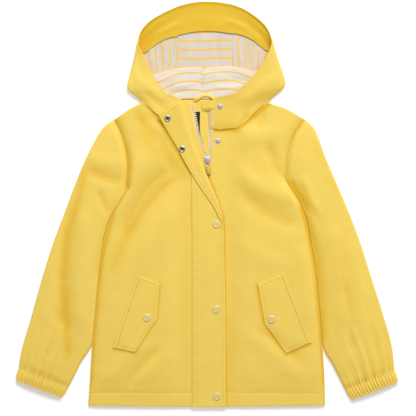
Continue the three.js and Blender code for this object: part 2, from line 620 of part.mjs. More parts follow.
function facingWidth(t) {
  const at = t * (FACING_WIDTH.length - 1);
  const k = Math.min(Math.floor(at), FACING_WIDTH.length - 2);
  return FACING_WIDTH[k] + (FACING_WIDTH[k + 1] - FACING_WIDTH[k]) * (at - k);
}

function addLining() {
  const level = CLOTH + SEAM_GAP;
  const sides = {
    lining_left: [LEFT_LINING.outer, LEFT_LINING.inner],
    lining_right: [RIGHT_LINING.inner, RIGHT_LINING.outer],
  };
  for (const [name, [from, to]] of Object.entries(sides)) {
    const grid = ruled(smooth(from, 5), smooth(to, 5), 4);
    addPiece(name, panel(grid, () => level, LINING), lining);
  }
  const centre = ruled(smooth(CENTRE_LINING.left, 4), smooth(CENTRE_LINING.right, 4), 6);
  addPiece('lining_centre', panel(centre, () => level, LINING), lining);
  const neck = ruled(smooth(NECK_LINING_TOP, 12), smooth(NECK_LINING_BOTTOM, 12), 4);
  const neckLift = (x, y) => level + (LINING + SEAM_GAP) * smoothStep(LINING_LAP.from, LINING_LAP.to, y);
  addPiece('lining_neck', panel(neck.map((row) => row.toReversed()), neckLift, LINING), lining);
}

function addNeckPieces() {
  const level = CLOTH + SEAM_GAP;
  const strip = ruled(smooth(NECK_STRIP.upper, 8), smooth(NECK_STRIP.lower, 8), 2);
  addPiece('neck_strip', panel(strip.map((row) => row.toReversed()), () => level, LABEL), coated);
  const label = ruled(smooth(NECK_LABEL.left, 3), smooth(NECK_LABEL.right, 3), 2);
  addPiece('neck_label', panel(label, () => level, LABEL), black);
  const loop = ruled(smooth(LOOP.outer, 8), smooth(LOOP.inner, 8), 1).map((row) => row.toReversed());
  addPiece('hanger_loop', panel(loop, () => level + LINING + SEAM_GAP, LOOP.thickness), coated);
}

// Storm flap
const LEVEL_OVER_FRONT = FRONT_TOP + SEAM_GAP;
const FLAP_ROWS = { turned: 14, closed: 12 };

function flapSection({ seam, roll, free, lift, rise }) {
  const middle = lift + rise / 2;
  const top = lift + rise;
  const toRoll = (t) => [seam[0] + (roll[0] - seam[0]) * t, seam[1] + (roll[1] - seam[1]) * t];
  const toFree = (t) => [roll[0] + (free[0] - roll[0]) * t, roll[1] + (free[1] - roll[1]) * t];
  const lower = smooth([[...seam, lift], [...toRoll(0.5), lift], [...toRoll(0.9), lift]], 3);
  const bend = smooth([[...toRoll(0.9), lift], [...roll, middle], [...toFree(0.12), top]], 4);
  const upper = smooth([[...toFree(0.12), top], [...toFree(0.5), top], [...free, top]], 4);
  return [...lower, ...bend.slice(1), ...upper.slice(1)];
}

function addStormFlap() {
  const turned = tableRows(TURNED_FLAP, FLAP_ROWS.turned).map(flapSection);
  addPiece('storm_flap_turned', wallBetween(turned, movedOut(turned, CLOTH)), coated);
  const closed = ruled(smooth(FLAP_SEAM_EDGE, FLAP_ROWS.closed), smooth(FLAP_FREE_EDGE, FLAP_ROWS.closed), 4);
  addPiece('storm_flap', panel(closed, () => LEVEL_OVER_FRONT, CLOTH), coated);
}

const TAPE_STEPS = 20;

function addZip() {
  const left = ruled(smooth(LEFT_TAPE.outer, TAPE_STEPS), smooth(LEFT_TAPE.inner, TAPE_STEPS), 1);
  const right = ruled(smooth(RIGHT_TAPE.inner, TAPE_STEPS), smooth(RIGHT_TAPE.outer, TAPE_STEPS), 1);
  addPiece('zip_tape_left', panel(left, () => TAPE_LEVEL, TAPE), coated);
  addPiece('zip_tape_right', panel(right, () => TAPE_LEVEL, TAPE), coated);
  const { climb, low, thickness } = GUARD;
  const guard = ruled(smooth(GUARD.left, 4), smooth(GUARD.right, 4), 8);
  const guardHeight = (x) => low + climb.height * smoothStep(climb.from, climb.to, x);
  addPiece('zip_guard', panel(guard, guardHeight, thickness), coated);
}

// Slider with a bridge that the pull hangs on, and the pull with its grip
const SLIDER_SIZE = { width: 12, length: 12, plate: 1.6 };
const BRIDGE = { width: 2.6, length: 9.6, height: 3.6, bar: 1.2 };
const RING = { inner: 4.2, bar: 1.3, reach: 11 };
const GRIP = { width: 8, length: 16, thickness: 3 };
const LEAN = { share: 0.16, from: -5 }; // the pull lies a little to the right below the bridge
const SLIDER_BASE = TAPE_LEVEL + TAPE + SEAM_GAP;
const PIVOT = [SLIDER[0], SLIDER[1], SLIDER_BASE + SLIDER_SIZE.plate + 0.4 + RING.bar / 2];

function extruded(outline, depth, bevel = 0, holes = []) {
  const shape = new THREE.Shape(outline.map(([x, y]) => new THREE.Vector2(x, y)));
  for (const hole of holes) {
    shape.holes.push(new THREE.Path(hole.map(([x, y]) => new THREE.Vector2(x, y))));
  }
  const geometry = new THREE.ExtrudeGeometry(shape, {
    depth: depth - 2 * bevel,
    bevelEnabled: bevel > 0,
    bevelThickness: bevel,
    bevelSize: bevel,
    bevelOffset: -bevel,
    bevelSegments: 1,
    steps: 1,
  });
  geometry.translate(0, 0, bevel);
  geometry.deleteAttribute('normal');
  geometry.deleteAttribute('uv');
  return mergeVertices(geometry, 1e-4);
}

function rectangle(x0, y0, x1, y1) {
  return [[x0, y0], [x1, y0], [x1, y1], [x0, y1]];
}

function addSlider() {
  const { width, length, plate } = SLIDER_SIZE;
  const [x, y] = SLIDER;
  const nose = [
    [-width / 2, length * 0.1], [-width * 0.33, -length / 2], [width * 0.33, -length / 2], [width / 2, length * 0.1],
    [width * 0.4, length / 2], [width * 0.12, length * 0.4], [-width * 0.12, length * 0.4], [-width * 0.4, length / 2],
  ];
  const body = extruded(nose, plate, 0.4);
  body.translate(x, y, SLIDER_BASE);
  // The bridge is an arch seen from the side, standing on the plate
  const { width: across, length: long, height, bar } = BRIDGE;
  const half = long / 2;
  const arch = [
    [-half, 0], [-half + bar, 0], [-half + bar + 0.6, height - bar], [half - bar - 0.6, height - bar],
    [half - bar, 0], [half, 0], [half - 0.8, height], [-half + 0.8, height],
  ];
  const bridge = extruded(arch, across);
  const [alongX, alongY] = [new THREE.Vector3(1, 0, 0), new THREE.Vector3(0, 1, 0)];
  bridge.applyMatrix4(new THREE.Matrix4().makeBasis(alongY, UP, alongX));
  bridge.translate(x - across / 2, y, SLIDER_BASE + plate - 0.05);
  addPiece('zip_slider', merged(body, bridge), metal);
}

function leaning(outline) {
  return outline.map(([x, y]) => [x - LEAN.share * Math.min(0, y - LEAN.from), y]);
}

function addPull() {
  const [x, y, z] = PIVOT;
  const half = RING.inner / 2 + RING.bar;
  const frame = rectangle(-half, -RING.reach, half, RING.bar / 2);
  const hole = rectangle(-RING.inner / 2, -RING.reach + RING.bar, RING.inner / 2, -RING.bar / 2);
  const ring = extruded(leaning(frame), RING.bar, 0, [leaning(hole)]);
  ring.translate(x, y, z - RING.bar / 2);
  addPiece('zip_pull', ring, metal);
  const w = GRIP.width / 2;
  const end = -RING.reach - SEAM_GAP;
  const foot = end - GRIP.length;
  const outline = [
    [-w * 0.72, end], [-w, end - 3], [-w * 0.9, foot + 2], [-w * 0.6, foot],
    [w * 0.6, foot], [w * 0.9, foot + 2], [w, end - 3], [w * 0.72, end],
  ];
  const grip = extruded(leaning(outline), GRIP.thickness, 0.6);
  grip.translate(x, y, z - GRIP.thickness * 0.6);
  addPiece('zip_grip', grip, coated);
}

function merged(...geometries) {
  const solids = geometries.map((geometry) => {
    const triVerts = new Uint32Array(geometry.index.array);
    const vertProperties = geometry.attributes.position.array;
    return new wasm.Manifold(new wasm.Mesh({ numProp: 3, vertProperties, triVerts }));
  });
  const mesh = solids.reduce((sum, solid) => sum.add(solid)).getMesh();
  const result = new THREE.BufferGeometry();
  result.setAttribute('position', new THREE.Float32BufferAttribute(mesh.vertProperties, 3));
  result.setIndex(Array.from(mesh.triVerts));
  return result;
}

function addPockets() {
  const tables = {
    pocket_flap_left: LEFT_POCKET,
    pocket_flap_right: RIGHT_POCKET,
    pocket_welt_left: LEFT_WELT,
    pocket_welt_right: RIGHT_WELT,
  };
  for (const [name, { sewn, free }] of Object.entries(tables)) {
    const isWelt = name.includes('welt');
    const first = cornered(sewn, 4);
    const last = cornered(free, 4);
    const leftFirst = first[0].x < last[0].x;
    const grid = leftFirst ? ruled(first, last, isWelt ? 1 : 3) : ruled(last, first, isWelt ? 1 : 3);
    addPiece(name, panel(grid, (x, y) => frontTop(x, y) + REST_GAP, isWelt ? WELT_CLOTH : CLOTH), coated);
  }
}

// Line with sharp corners at its points, each stretch cut into equal steps
function cornered(points, steps) {
  return points.slice(1).flatMap((next, k) => {
    const from = new THREE.Vector3(...points[k], 0);
    const to = new THREE.Vector3(...next, 0);
    const first = k ? 1 : 0;
    return Array.from({ length: steps + 1 - first }, (_, j) => from.clone().lerp(to, (j + first) / steps));
  });
}

// Snaps: turned profiles, set square to the cloth at a place
const SNAPS = [
  { name: 'cap_top', at: [16, -35], kind: 'cap', on: 'storm_flap' },
  { name: 'cap_middle', at: [16, -184.5], kind: 'cap', on: 'storm_flap' },
  { name: 'cap_bottom', at: [17, -336.5], kind: 'cap', on: 'storm_flap' },
  { name: 'cap_pocket_left', at: [-105.5, -198.5], kind: 'cap', on: 'pocket_flap_left' },
  { name: 'cap_pocket_right', at: [112.5, -201.5], kind: 'cap', on: 'pocket_flap_right' },
  { name: 'stud_neck', at: [22.5, 171], kind: 'stud', on: 'hood_right' },
  { name: 'stud_chest', at: [19, 111], kind: 'stud', on: 'right_front' },
  { name: 'socket_neck', at: [-69, 150], kind: 'socket', on: 'storm_flap_turned' },
  { name: 'socket_chest', at: [-43.5, 96.5], kind: 'socket', on: 'storm_flap_turned' },
];
// Share of the radius and height above the cloth, up the outside and in over the top
const SNAP_SHAPES = {
  cap: {
    diameter: SNAP_CAP,
    profile: [[0, 0], [0.94, 0], [1, 0.5], [0.9, 1.3], [0.62, 1.5], [0.56, 1.25], [0, 1.45]],
  },
  stud: {
    diameter: SNAP_STUD,
    profile: [[0, 0], [0.95, 0], [1, 0.5], [0.62, 0.9], [0.5, 2.2], [0.3, 2.4], [0.24, 1.6], [0, 1.6]],
  },
  socket: {
    diameter: SNAP_SOCKET,
    profile: [[0, 0], [0.94, 0], [1, 0.6], [0.84, 1.5], [0.56, 1.6], [0.44, 0.7], [0, 0.7]],
  },
};
const SNAP_SIDES = 16;

// Highest point of a piece under a disc, found by looking straight down on it
function topUnderDisc(name, [x, y], radius) {
  const carrier = group.getObjectByName(name);
  carrier.updateMatrixWorld();
  const ray = new THREE.Raycaster();
  const turns = Array.from({ length: 8 }, (_, k) => k * Math.PI / 4);
  const places = [[0, 0], ...turns.map((turn) => [Math.cos(turn), Math.sin(turn)])];
  const heights = places.map(([dx, dy]) => {
    ray.set(new THREE.Vector3(x + radius * dx, y + radius * dy, 100), new THREE.Vector3(0, 0, -1));
    return ray.intersectObject(carrier)[0]?.point.z ?? 0;
  });
  return Math.max(...heights);
}

function addSnaps() {
  for (const { name, at, kind, on } of SNAPS) {
    const { diameter, profile } = SNAP_SHAPES[kind];
    const line = profile.map(([share, height]) => new THREE.Vector2(share * diameter / 2, height));
    const geometry = new THREE.LatheGeometry(line, SNAP_SIDES);
    geometry.rotateX(Math.PI / 2);
    geometry.deleteAttribute('normal');
    geometry.deleteAttribute('uv');
    const solid = mergeVertices(geometry, 1e-4);
    solid.translate(at[0], at[1], topUnderDisc(on, at, diameter / 2) + SEAM_GAP);
    addPiece(`snap_${name}`, solid, kind === 'cap' ? pearl : metal);
  }
}

addBody();
addSleeve('sleeve_left', LEFT_SLEEVE, LEFT_ARMHOLE);
addSleeve('sleeve_right', RIGHT_SLEEVE, RIGHT_ARMHOLE);
addCuff('cuff_left', LEFT_CUFF);
addCuff('cuff_right', RIGHT_CUFF);
addHood();
addLining();
addNeckPieces();
addStormFlap();
addZip();
addSlider();
addPull();
addPockets();
addSnaps();

export default group;
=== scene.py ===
# Kids raincoat laid flat on its back: coated yellow cloth, striped hood lining, zip, storm flap, press studs.
# Tables are in millimetres, as on a maker's drawing, with +X across the coat, +Y to the hood and +Z up.
# Left and right are as seen from above. Meshes are placed in metres.
import math
from functools import partial

import bpy
import numpy as np
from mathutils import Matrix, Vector
from mathutils.bvhtree import BVHTree


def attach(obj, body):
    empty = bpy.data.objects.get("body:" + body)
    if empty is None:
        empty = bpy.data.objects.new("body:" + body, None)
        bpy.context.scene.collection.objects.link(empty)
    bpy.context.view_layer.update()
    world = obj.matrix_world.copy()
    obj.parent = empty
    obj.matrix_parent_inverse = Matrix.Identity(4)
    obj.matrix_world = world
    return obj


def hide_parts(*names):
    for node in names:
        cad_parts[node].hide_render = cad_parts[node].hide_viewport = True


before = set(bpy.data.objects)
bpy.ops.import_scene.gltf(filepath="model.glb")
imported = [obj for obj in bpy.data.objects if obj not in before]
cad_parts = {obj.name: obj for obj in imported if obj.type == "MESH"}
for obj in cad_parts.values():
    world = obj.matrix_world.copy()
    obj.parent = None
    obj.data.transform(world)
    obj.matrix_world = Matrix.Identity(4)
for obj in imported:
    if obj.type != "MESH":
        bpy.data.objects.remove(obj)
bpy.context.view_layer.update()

# Studio. The coat lies on a white table and is seen from straight above through a long lens. One large
# soft light stands past the hood, a little to the right, and the white room fills in the rest.
MM = 0.001
SEEN_WIDTH = 0.728  # of the table, across the picture
SEEN_CENTRE = (0.00166, -0.00648)
SEEN_LEVEL = 0.005  # height above the table that the width is measured at
CAMERA_HEIGHT = 4.0
SENSOR_WIDTH = 36.0
ROOM_LIGHT = 0.46
KEY_LIGHT = {"at": (0.75, 2.9, 2.45), "size": (2.6, 1.8), "watts": 150.0}
FLOOR_SIZE = 8.0
FLOOR_WHITE = (0.93, 0.93, 0.93, 1)
FLOOR_BRIGHT = (0.95, 0.95, 0.95, 1)

scene = bpy.context.scene
scene.view_settings.view_transform = "Standard"
bpy.ops.object.select_all(action="DESELECT")
bpy.ops.object.camera_add(location=(*SEEN_CENTRE, CAMERA_HEIGHT), rotation=(0, 0, 0))
camera = bpy.context.object
camera.data.sensor_width = SENSOR_WIDTH
camera.data.lens = SENSOR_WIDTH * (CAMERA_HEIGHT - SEEN_LEVEL) / SEEN_WIDTH
scene.camera = camera

bpy.ops.object.light_add(type="AREA", location=KEY_LIGHT["at"])
key = bpy.context.object
key.data.shape = "RECTANGLE"
key.data.size, key.data.size_y = KEY_LIGHT["size"]
key.data.energy = KEY_LIGHT["watts"]
key.rotation_euler = (-Vector(KEY_LIGHT["at"])).to_track_quat("-Z", "Y").to_euler()

room = bpy.data.worlds.new("white_room")
room.use_nodes = True
room.node_tree.nodes["Background"].inputs["Color"].default_value = (1, 1, 1, 1)
room.node_tree.nodes["Background"].inputs["Strength"].default_value = ROOM_LIGHT
scene.world = room

bpy.ops.mesh.primitive_plane_add(size=FLOOR_SIZE, location=(0, 0, -0.4 * MM))
floor = bpy.context.object
floor.name = "table_top"


class Value:
    """A number that changes over a surface. Arithmetic on it adds Math nodes."""

    def __init__(self, finish, socket):
        self.finish = finish
        self.socket = socket

    def worked(self, operation, *others):
        node = self.finish.node("ShaderNodeMath", {"operation": operation}, dict(enumerate(others)))
        return Value(self.finish, node.outputs[0])

    def __add__(self, other):
        return self.worked("ADD", self, other)

    def __radd__(self, other):
        return self.worked("ADD", other, self)

    def __sub__(self, other):
        return self.worked("SUBTRACT", self, other)

    def __rsub__(self, other):
        return self.worked("SUBTRACT", other, self)

    def __mul__(self, other):
        return self.worked("MULTIPLY", self, other)

    def __rmul__(self, other):
        return self.worked("MULTIPLY", other, self)

    def __truediv__(self, other):
        return self.worked("DIVIDE", self, other)

    def __pow__(self, other):
        return self.worked("POWER", self, other)

    def wave(self):
        return self.worked("SINE", self)

    def size(self):
        return self.worked("ABSOLUTE", self)

    def or_more(self, other):
        """The larger of the two."""
        return self.worked("MAXIMUM", self, other)

    def folded(self, width):
        """Runs up to the width and back down to 0 over and over."""
        return self.worked("PINGPONG", self, width)

    def beyond(self, edge, softness):
        """0 below the edge and 1 above it, with a soft step between."""
        step = self.finish.node(
            "ShaderNodeMapRange",
            {"interpolation_type": "SMOOTHSTEP"},
            {"Value": self, "From Min": edge - softness, "From Max": edge + softness},
        )
        return Value(self.finish, step.outputs["Result"])


class Finish:
    """A material under construction: a shader and the nodes that feed it."""

    def __init__(self, name, **settings):
        self.material = bpy.data.materials.new(name)
        self.material.use_nodes = True
        self.tree = self.material.node_tree
        self.shader = self.tree.nodes["Principled BSDF"]
        self.set(**settings)

    def put(self, socket, value):
        if isinstance(value, Value):
            value = value.socket
        if isinstance(value, bpy.types.NodeSocket):
            self.tree.links.new(value, socket)
        else:
            socket.default_value = value

    def set(self, **settings):
        for name, value in settings.items():
            self.put(self.shader.inputs[name.replace("_", " ")], value)

    def node(self, kind, settings=None, inputs=None):
        made = self.tree.nodes.new(kind)
        for name, value in (settings or {}).items():
            setattr(made, name, value)
        for name, value in (inputs or {}).items():
            self.put(made.inputs[name], value)
        return made

    def noise(self, scale, detail=2.0, vector=None):
        """Cloudy numbers round 0, at a scale for each metre of the piece."""
        vector = vector or self.node("ShaderNodeTexCoord").outputs["Object"]
        node = self.node("ShaderNodeTexNoise", {}, {"Vector": vector, "Scale": scale, "Detail": detail})
        return Value(self, node.outputs[0]) - 0.5

    def attribute(self, name):
        return Value(self, self.node("ShaderNodeAttribute", {"attribute_name": name}).outputs["Fac"])

    def uv(self):
        """The two distances along the cloth, in metres."""
        parts = self.node("ShaderNodeSeparateXYZ", {}, {0: self.node("ShaderNodeUVMap").outputs[0]})
        return Value(self, parts.outputs["X"]), Value(self, parts.outputs["Y"])

    def beside(self, start, end, width, fade=6):
        """1 on a straight line seen from above, in millimetres, down to 0 beside it and before its start."""
        spot = self.node("ShaderNodeSeparateXYZ", {}, {0: self.node("ShaderNodeTexCoord").outputs["Object"]})
        x, y = Value(self, spot.outputs["X"]) / MM - start[0], Value(self, spot.outputs["Y"]) / MM - start[1]
        along_x, along_y = end[0] - start[0], end[1] - start[1]
        length = math.hypot(along_x, along_y)
        aside = (x * (along_y / length) - y * (along_x / length)).size()
        gone = x * (along_x / length) + y * (along_y / length)
        return (1 - aside.beyond(width, width * 0.7)) * gone.beyond(0, fade)

    def blend(self, share, first, second):
        node = self.node("ShaderNodeMix", {"data_type": "RGBA"}, {0: share, 6: first, 7: second})
        return node.outputs[2]

    def mottled(self, scale, first, second):
        """A base colour that drifts between two."""
        self.set(Base_Color=self.blend(self.noise(scale) + 0.5, first, second))

    def relief(self, height, depth):
        """Bumps of a depth in metres, from a height of about 0 to 1."""
        bump = self.node("ShaderNodeBump", {}, {"Height": height, "Distance": depth, "Strength": 1.0})
        self.set(Normal=bump.outputs[0])


table_finish = Finish("white_table", Roughness=0.9, Emission_Strength=0.22)
table_finish.mottled(3.0, FLOOR_WHITE, FLOOR_BRIGHT)
floor.data.materials.append(table_finish.material)

# Back panel. One piece of coated cloth from shoulders to hem, lying flat on the table under the fronts.
# It is cut with the same side and armhole lines as they are.
CLOTH = 1.8  # thickness of the coated outer cloth
SEAM_GAP = 0.3
LEFT_ARMHOLE = [(-162, 148.5), (-148, 116.5), (-139.5, 76.5), (-142, 23.5)]
LEFT_SIDE = [
    (-142, 23.5), (-175.5, -39), (-189.5, -122), (-196.5, -198), (-201.5, -249.5),
    (-205, -307.5), (-208, -352.5),
]
RIGHT_ARMHOLE = [(170.5, 148.5), (151.5, 118.5), (140.5, 85), (136, 46)]
RIGHT_SIDE = [
    (136, 46), (170.5, -14.5), (184.5, -80), (194, -150), (198.5, -198), (202, -246),
    (205.5, -302), (207, -352),
]
LEFT_SHOULDER = [(-162, 148.5), (-136.5, 166), (-112, 179)]
RIGHT_SHOULDER = [(106, 178), (138, 167), (170.5, 148.5)]
BACK_NECKLINE = [(-112, 179), (-82.5, 168.5), (-5.5, 160), (75, 168.5), (106, 178)]
LIGHT_WAY = np.array(Vector(KEY_LIGHT["at"]).normalized())
YELLOW = (0.83, 0.60, 0.108, 1)
# Painted shade: the cloth blends towards this in troughs, in gaps and on faces turned from the light, with a
# little random tone.
PAINTED_SHADE_YELLOW = (0.755, 0.455, 0.030, 1)
PALE_YELLOW = (0.86, 0.63, 0.13, 1)
# Painted bounce light: the cloth's emission colour, dim everywhere and strong in the listed glow bands.
DIM_GLOW = (0.20, 0.11, 0.0, 1)  # light that the cloth passes on into its own seams and folds
GLOW_YELLOW = (0.92, 0.52, 0.0, 1)  # the same where two layers lie close together
# Painted shade in seams and gaps, where the glow bands are strongest.
SEAM_GAP_SHADE_YELLOW = (0.60, 0.355, 0.008, 1)
# A darker copy of the cloth for the hood facing and the armhole grooves: painted shade.
INSIDE_SHADE_YELLOW = (0.715, 0.468, 0.024, 1)
INSIDE_DEEPER_SHADE = (0.64, 0.375, 0.008, 1)
# A lighter copy of the cloth for the left hood side, which turns from the lamp: painted light.
HOOD_LIT_YELLOW = (0.90, 0.665, 0.135, 1)
HOOD_LIT_SHADE = (0.87, 0.575, 0.075, 1)
GLOW_STRENGTH = 0.17
GLOW_HELD = 0.42  # of a glow's length, each way from its middle, that keeps its strength
WEAVE_PITCH = 0.0009  # metres
# Painted shade and glow run along this line beside the closed flap's edge.
FLAP_SHADE_LINE = ((30.3, -28), (34.7, -355), 1.6)  # where the closed flap's edge lies on the right front
ROWS_ARM, ROWS_SIDE, ACROSS = 40, 132, 70


def spline(points, pieces=24):
    """Fine points of a smooth curve through the given ones, as many for each stretch."""
    p = np.array(points, float)
    p = np.vstack([2 * p[0] - p[1], p, 2 * p[-1] - p[-2]])
    reach = np.maximum(np.linalg.norm(np.diff(p, axis=0), axis=1), 1e-3) ** 0.5
    t = np.linspace(0, 1, pieces, endpoint=False)[:, None]
    stretches = []
    for k in range(1, len(p) - 2):
        before, here, after = reach[k - 1 : k + 2]
        leave = (p[k] - p[k - 1]) / before - (p[k + 1] - p[k - 1]) / (before + here) + (p[k + 1] - p[k]) / here
        arrive = (p[k + 1] - p[k]) / here - (p[k + 2] - p[k]) / (here + after) + (p[k + 2] - p[k + 1]) / after
        start = (2 * t**3 - 3 * t**2 + 1) * p[k] + (t**3 - 2 * t**2 + t) * leave * here
        stretches.append(start + (3 * t**2 - 2 * t**3) * p[k + 1] + (t**3 - t**2) * arrive * here)
    return np.vstack([*stretches, p[-2:-1]])


def spaced(line, steps):
    """The same line in equal steps."""
    gone = np.concatenate([[0], np.cumsum(np.linalg.norm(np.diff(line, axis=0), axis=1))])
    wanted = np.linspace(0, gone[-1], steps + 1)
    return np.stack([np.interp(wanted, gone, line[:, k]) for k in range(line.shape[1])], axis=1)


def smooth_line(points, steps):
    return spaced(spline(points), steps)


def joined(*stretches):
    """One line of several smooth stretches, each given as points and steps."""
    lines = [smooth_line(points, steps) for points, steps in stretches]
    return np.vstack([lines[0], *[line[1:] for line in lines[1:]]])


def filled(top, bottom, left, right):
    """Grid of flat points between four edges that meet at the corners."""
    u = np.linspace(0, 1, len(top))[None, :, None]
    v = np.linspace(0, 1, len(left))[:, None, None]
    flat = (1 - v) * top[None] + v * bottom[None] + (1 - u) * left[:, None] + u * right[:, None]
    corners = (1 - u) * (1 - v) * top[0] + u * (1 - v) * top[-1] + (1 - u) * v * bottom[0] + u * v * bottom[-1]
    return flat - corners


def ruled(first, last, columns):
    share = np.linspace(0, 1, columns + 1)[None, :, None]
    return first[:, None] * (1 - share) + last[:, None] * share


def spanned(edges, steps, columns):
    """Flat grid between two edges, each given as a few points of a smooth line."""
    first, last = (smooth_line(line, steps) for line in edges)
    return ruled(first, last, columns)


def lifted(flat, height):
    """Flat points raised to a height, which is a number or an array that fits them."""
    return np.dstack([flat[..., 0], flat[..., 1], np.broadcast_to(height, flat.shape[:2])])


def softened(field, rounds):
    for _ in range(rounds):
        p = np.pad(field, 1, mode="edge")
        field = (p[:-2, 1:-1] + p[2:, 1:-1] + p[1:-1, :-2] + p[1:-1, 2:] + 2 * field) / 6
    return field


def fold_height(folds, x, y, held=0.28):
    """Height that soft ridges and troughs add, each fading out past a share of its half length."""
    total = np.zeros(np.shape(x))
    for x0, y0, x1, y1, width, rise, bow in folds:
        length = math.hypot(x1 - x0, y1 - y0)
        t = ((x - x0) * (x1 - x0) + (y - y0) * (y1 - y0)) / length**2
        aside = ((x - x0) * (y1 - y0) - (y - y0) * (x1 - x0)) / length
        aside = aside - bow * (1 - (2 * np.clip(t, 0, 1) - 1) ** 2)
        past = np.maximum(0, np.abs(t - 0.5) - held) * length
        total = total + rise * np.exp(-((aside / width) ** 2) - (past / (1.7 * width)) ** 2)
    return total


def normals(grid):
    """Directions square to a grid of points, out of the side that its faces show."""
    n = np.cross(np.gradient(grid, axis=1), np.gradient(grid, axis=0))
    return n / np.maximum(np.linalg.norm(n, axis=2, keepdims=True), 1e-9)


def cloth(name, grid, finish, wall=1.2, up=(0, 0, 1), closed=False, edge=0.35, marks=None, glows=()):
    """Cloth through rows of points of its outer face: a grid primitive laid along them, with its wall.

    The outer face looks along up on the whole. A closed piece is a tube, whose rows are rings. It keeps
    how deep it lies in a trough, how far it turns from the light, how near its cut edge it is and how strong
    the listed glow bands are on it, from which the finish paints shade and bounce light.
    """
    steps = [np.linalg.norm(np.diff(grid, axis=axis), axis=2).mean() for axis in (1, 0)]
    outward = grid - grid.mean(axis=1, keepdims=True) if closed else np.array(up, float)
    marks = dict(marks or {})
    if (normals(grid) * outward).sum() < 0:
        grid = grid[::-1]
        marks = {attribute: values[::-1] for attribute, values in marks.items()}
    rows, columns = grid.shape[:2]
    bpy.ops.object.select_all(action="DESELECT")
    bpy.ops.mesh.primitive_grid_add(x_subdivisions=columns - 1, y_subdivisions=rows - 1, size=1)
    piece = bpy.context.object
    piece.name = piece.data.name = name
    piece.data.vertices.foreach_set("co", (grid * MM).ravel())
    layer = piece.data.uv_layers[0]
    uvs = np.zeros(len(piece.data.loops) * 2)
    layer.data.foreach_get("uv", uvs)
    size = np.array([steps[0] * (columns - 1), steps[1] * (rows - 1)]) * MM
    layer.data.foreach_set("uv", (uvs.reshape(-1, 2) * size).ravel())
    level = grid[..., 2]
    sunk = (softened(level, 10) - level) / 0.8 + (softened(level, 90) - level) / 2.4
    square = normals(grid)
    shaded = LIGHT_WAY[2] - (square * np.where(square[..., 2:] < 0, -1, 1)) @ LIGHT_WAY
    border = np.zeros((rows, columns))
    border[0] = border[-1] = 1
    if not closed:
        border[:, 0] = border[:, -1] = 1
    glow = np.zeros((rows, columns))
    for band in glows:
        glow = np.maximum(glow, fold_height([band], grid[..., 0], grid[..., 1], GLOW_HELD))
    marks.update(sunk=np.clip(sunk, -1, 1), shaded=np.clip(shaded / 0.35, -1, 1))
    marks.update(border=softened(border, 2), glow=np.minimum(glow, 1))
    for attribute, values in marks.items():
        kept = piece.data.attributes.new(attribute, "FLOAT", "POINT")
        kept.data.foreach_set("value", values.ravel())
    if closed:
        bpy.ops.object.mode_set(mode="EDIT")
        bpy.ops.mesh.select_all(action="SELECT")
        bpy.ops.mesh.remove_doubles(threshold=0.01 * MM)
        bpy.ops.object.mode_set(mode="OBJECT")
    shell = piece.modifiers.new("wall", "SOLIDIFY")
    shell.thickness = wall * MM
    shell.offset = -1
    bpy.ops.object.modifier_apply(modifier=shell.name)
    if edge:
        soft = piece.modifiers.new("soft_edge", "BEVEL")
        soft.width = edge * MM
        soft.segments = 2
        soft.angle_limit = math.radians(60)
        bpy.ops.object.modifier_apply(modifier=soft.name)
    bpy.ops.object.shade_smooth_by_angle(angle=math.radians(50))
    piece.data.materials.clear()
    piece.data.materials.append(finish.material)
    return piece


def sewn(piece, nodes, body="root"):
    """Says what a piece of cloth stands for: puts it on its body and hides the parts of the model it replaces.
    """
    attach(piece, body)
    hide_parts(*nodes)


def coated_finish(name, base=YELLOW, deep=PAINTED_SHADE_YELLOW, pale=PALE_YELLOW, roughness=0.52, line=None):
    """Rubbery coating over a fine plain weave: painted shade in the troughs, in gaps and on faces turned from
    the light, a painted bounce glow, paler along worn edges.
    """
    finish = Finish(name, Specular_IOR_Level=0.32, Sheen_Weight=0.08, Sheen_Roughness=0.5)
    across, along = finish.uv()
    cloudy = finish.noise(7.0, 3.0)
    trough = finish.attribute("sunk").beyond(0.35, 0.45)
    shade = finish.attribute("shaded").beyond(0.42, 0.42)
    glow = finish.attribute("glow")
    if line:
        glow = glow.or_more(finish.beside(*line))
    # Painted bounce light: emission, dim over all the cloth and strong in the glow bands.
    finish.set(Emission_Color=finish.blend(glow ** 3, DIM_GLOW, GLOW_YELLOW), Emission_Strength=GLOW_STRENGTH)
    # Painted shade: deeper colour in troughs, on faces turned from the light and in the glow bands, with a
    # little random tone.
    colour = finish.blend(trough * 0.40 + shade * 0.50 + glow * 0.62 + cloudy * 0.12, base, deep)
    # Painted shade in the seams and gaps where the glow bands are strongest.
    colour = finish.blend(glow ** 3, colour, SEAM_GAP_SHADE_YELLOW)
    worn = finish.attribute("border") * 0.45 + finish.noise(60.0) * 0.10
    finish.set(Base_Color=finish.blend(worn.beyond(0.30, 0.25) * 0.35, colour, pale))
    finish.set(Roughness=cloudy * 0.16 + finish.noise(420.0) * 0.10 + roughness)
    threads = (across * (2 * math.pi / WEAVE_PITCH)).wave() * (along * (2 * math.pi / WEAVE_PITCH)).wave()
    grain = finish.noise(850.0, 3.0)
    dents = finish.noise(38.0, 2.0)
    finish.relief(threads * 0.030 + grain * 0.10 + dents * 0.95, 0.9 * MM)
    return finish


coated = coated_finish("coated_cloth")
# The darker copy paints shade on the facing and in the armhole grooves.
shaded_inside_coated = coated_finish("coated_cloth_inside_shaded", INSIDE_SHADE_YELLOW, INSIDE_DEEPER_SHADE, YELLOW, 0.58)
# The lighter copy paints light on the left hood side.
lit_hood_coated = coated_finish("coated_cloth_hood_lit", HOOD_LIT_YELLOW, HOOD_LIT_SHADE)
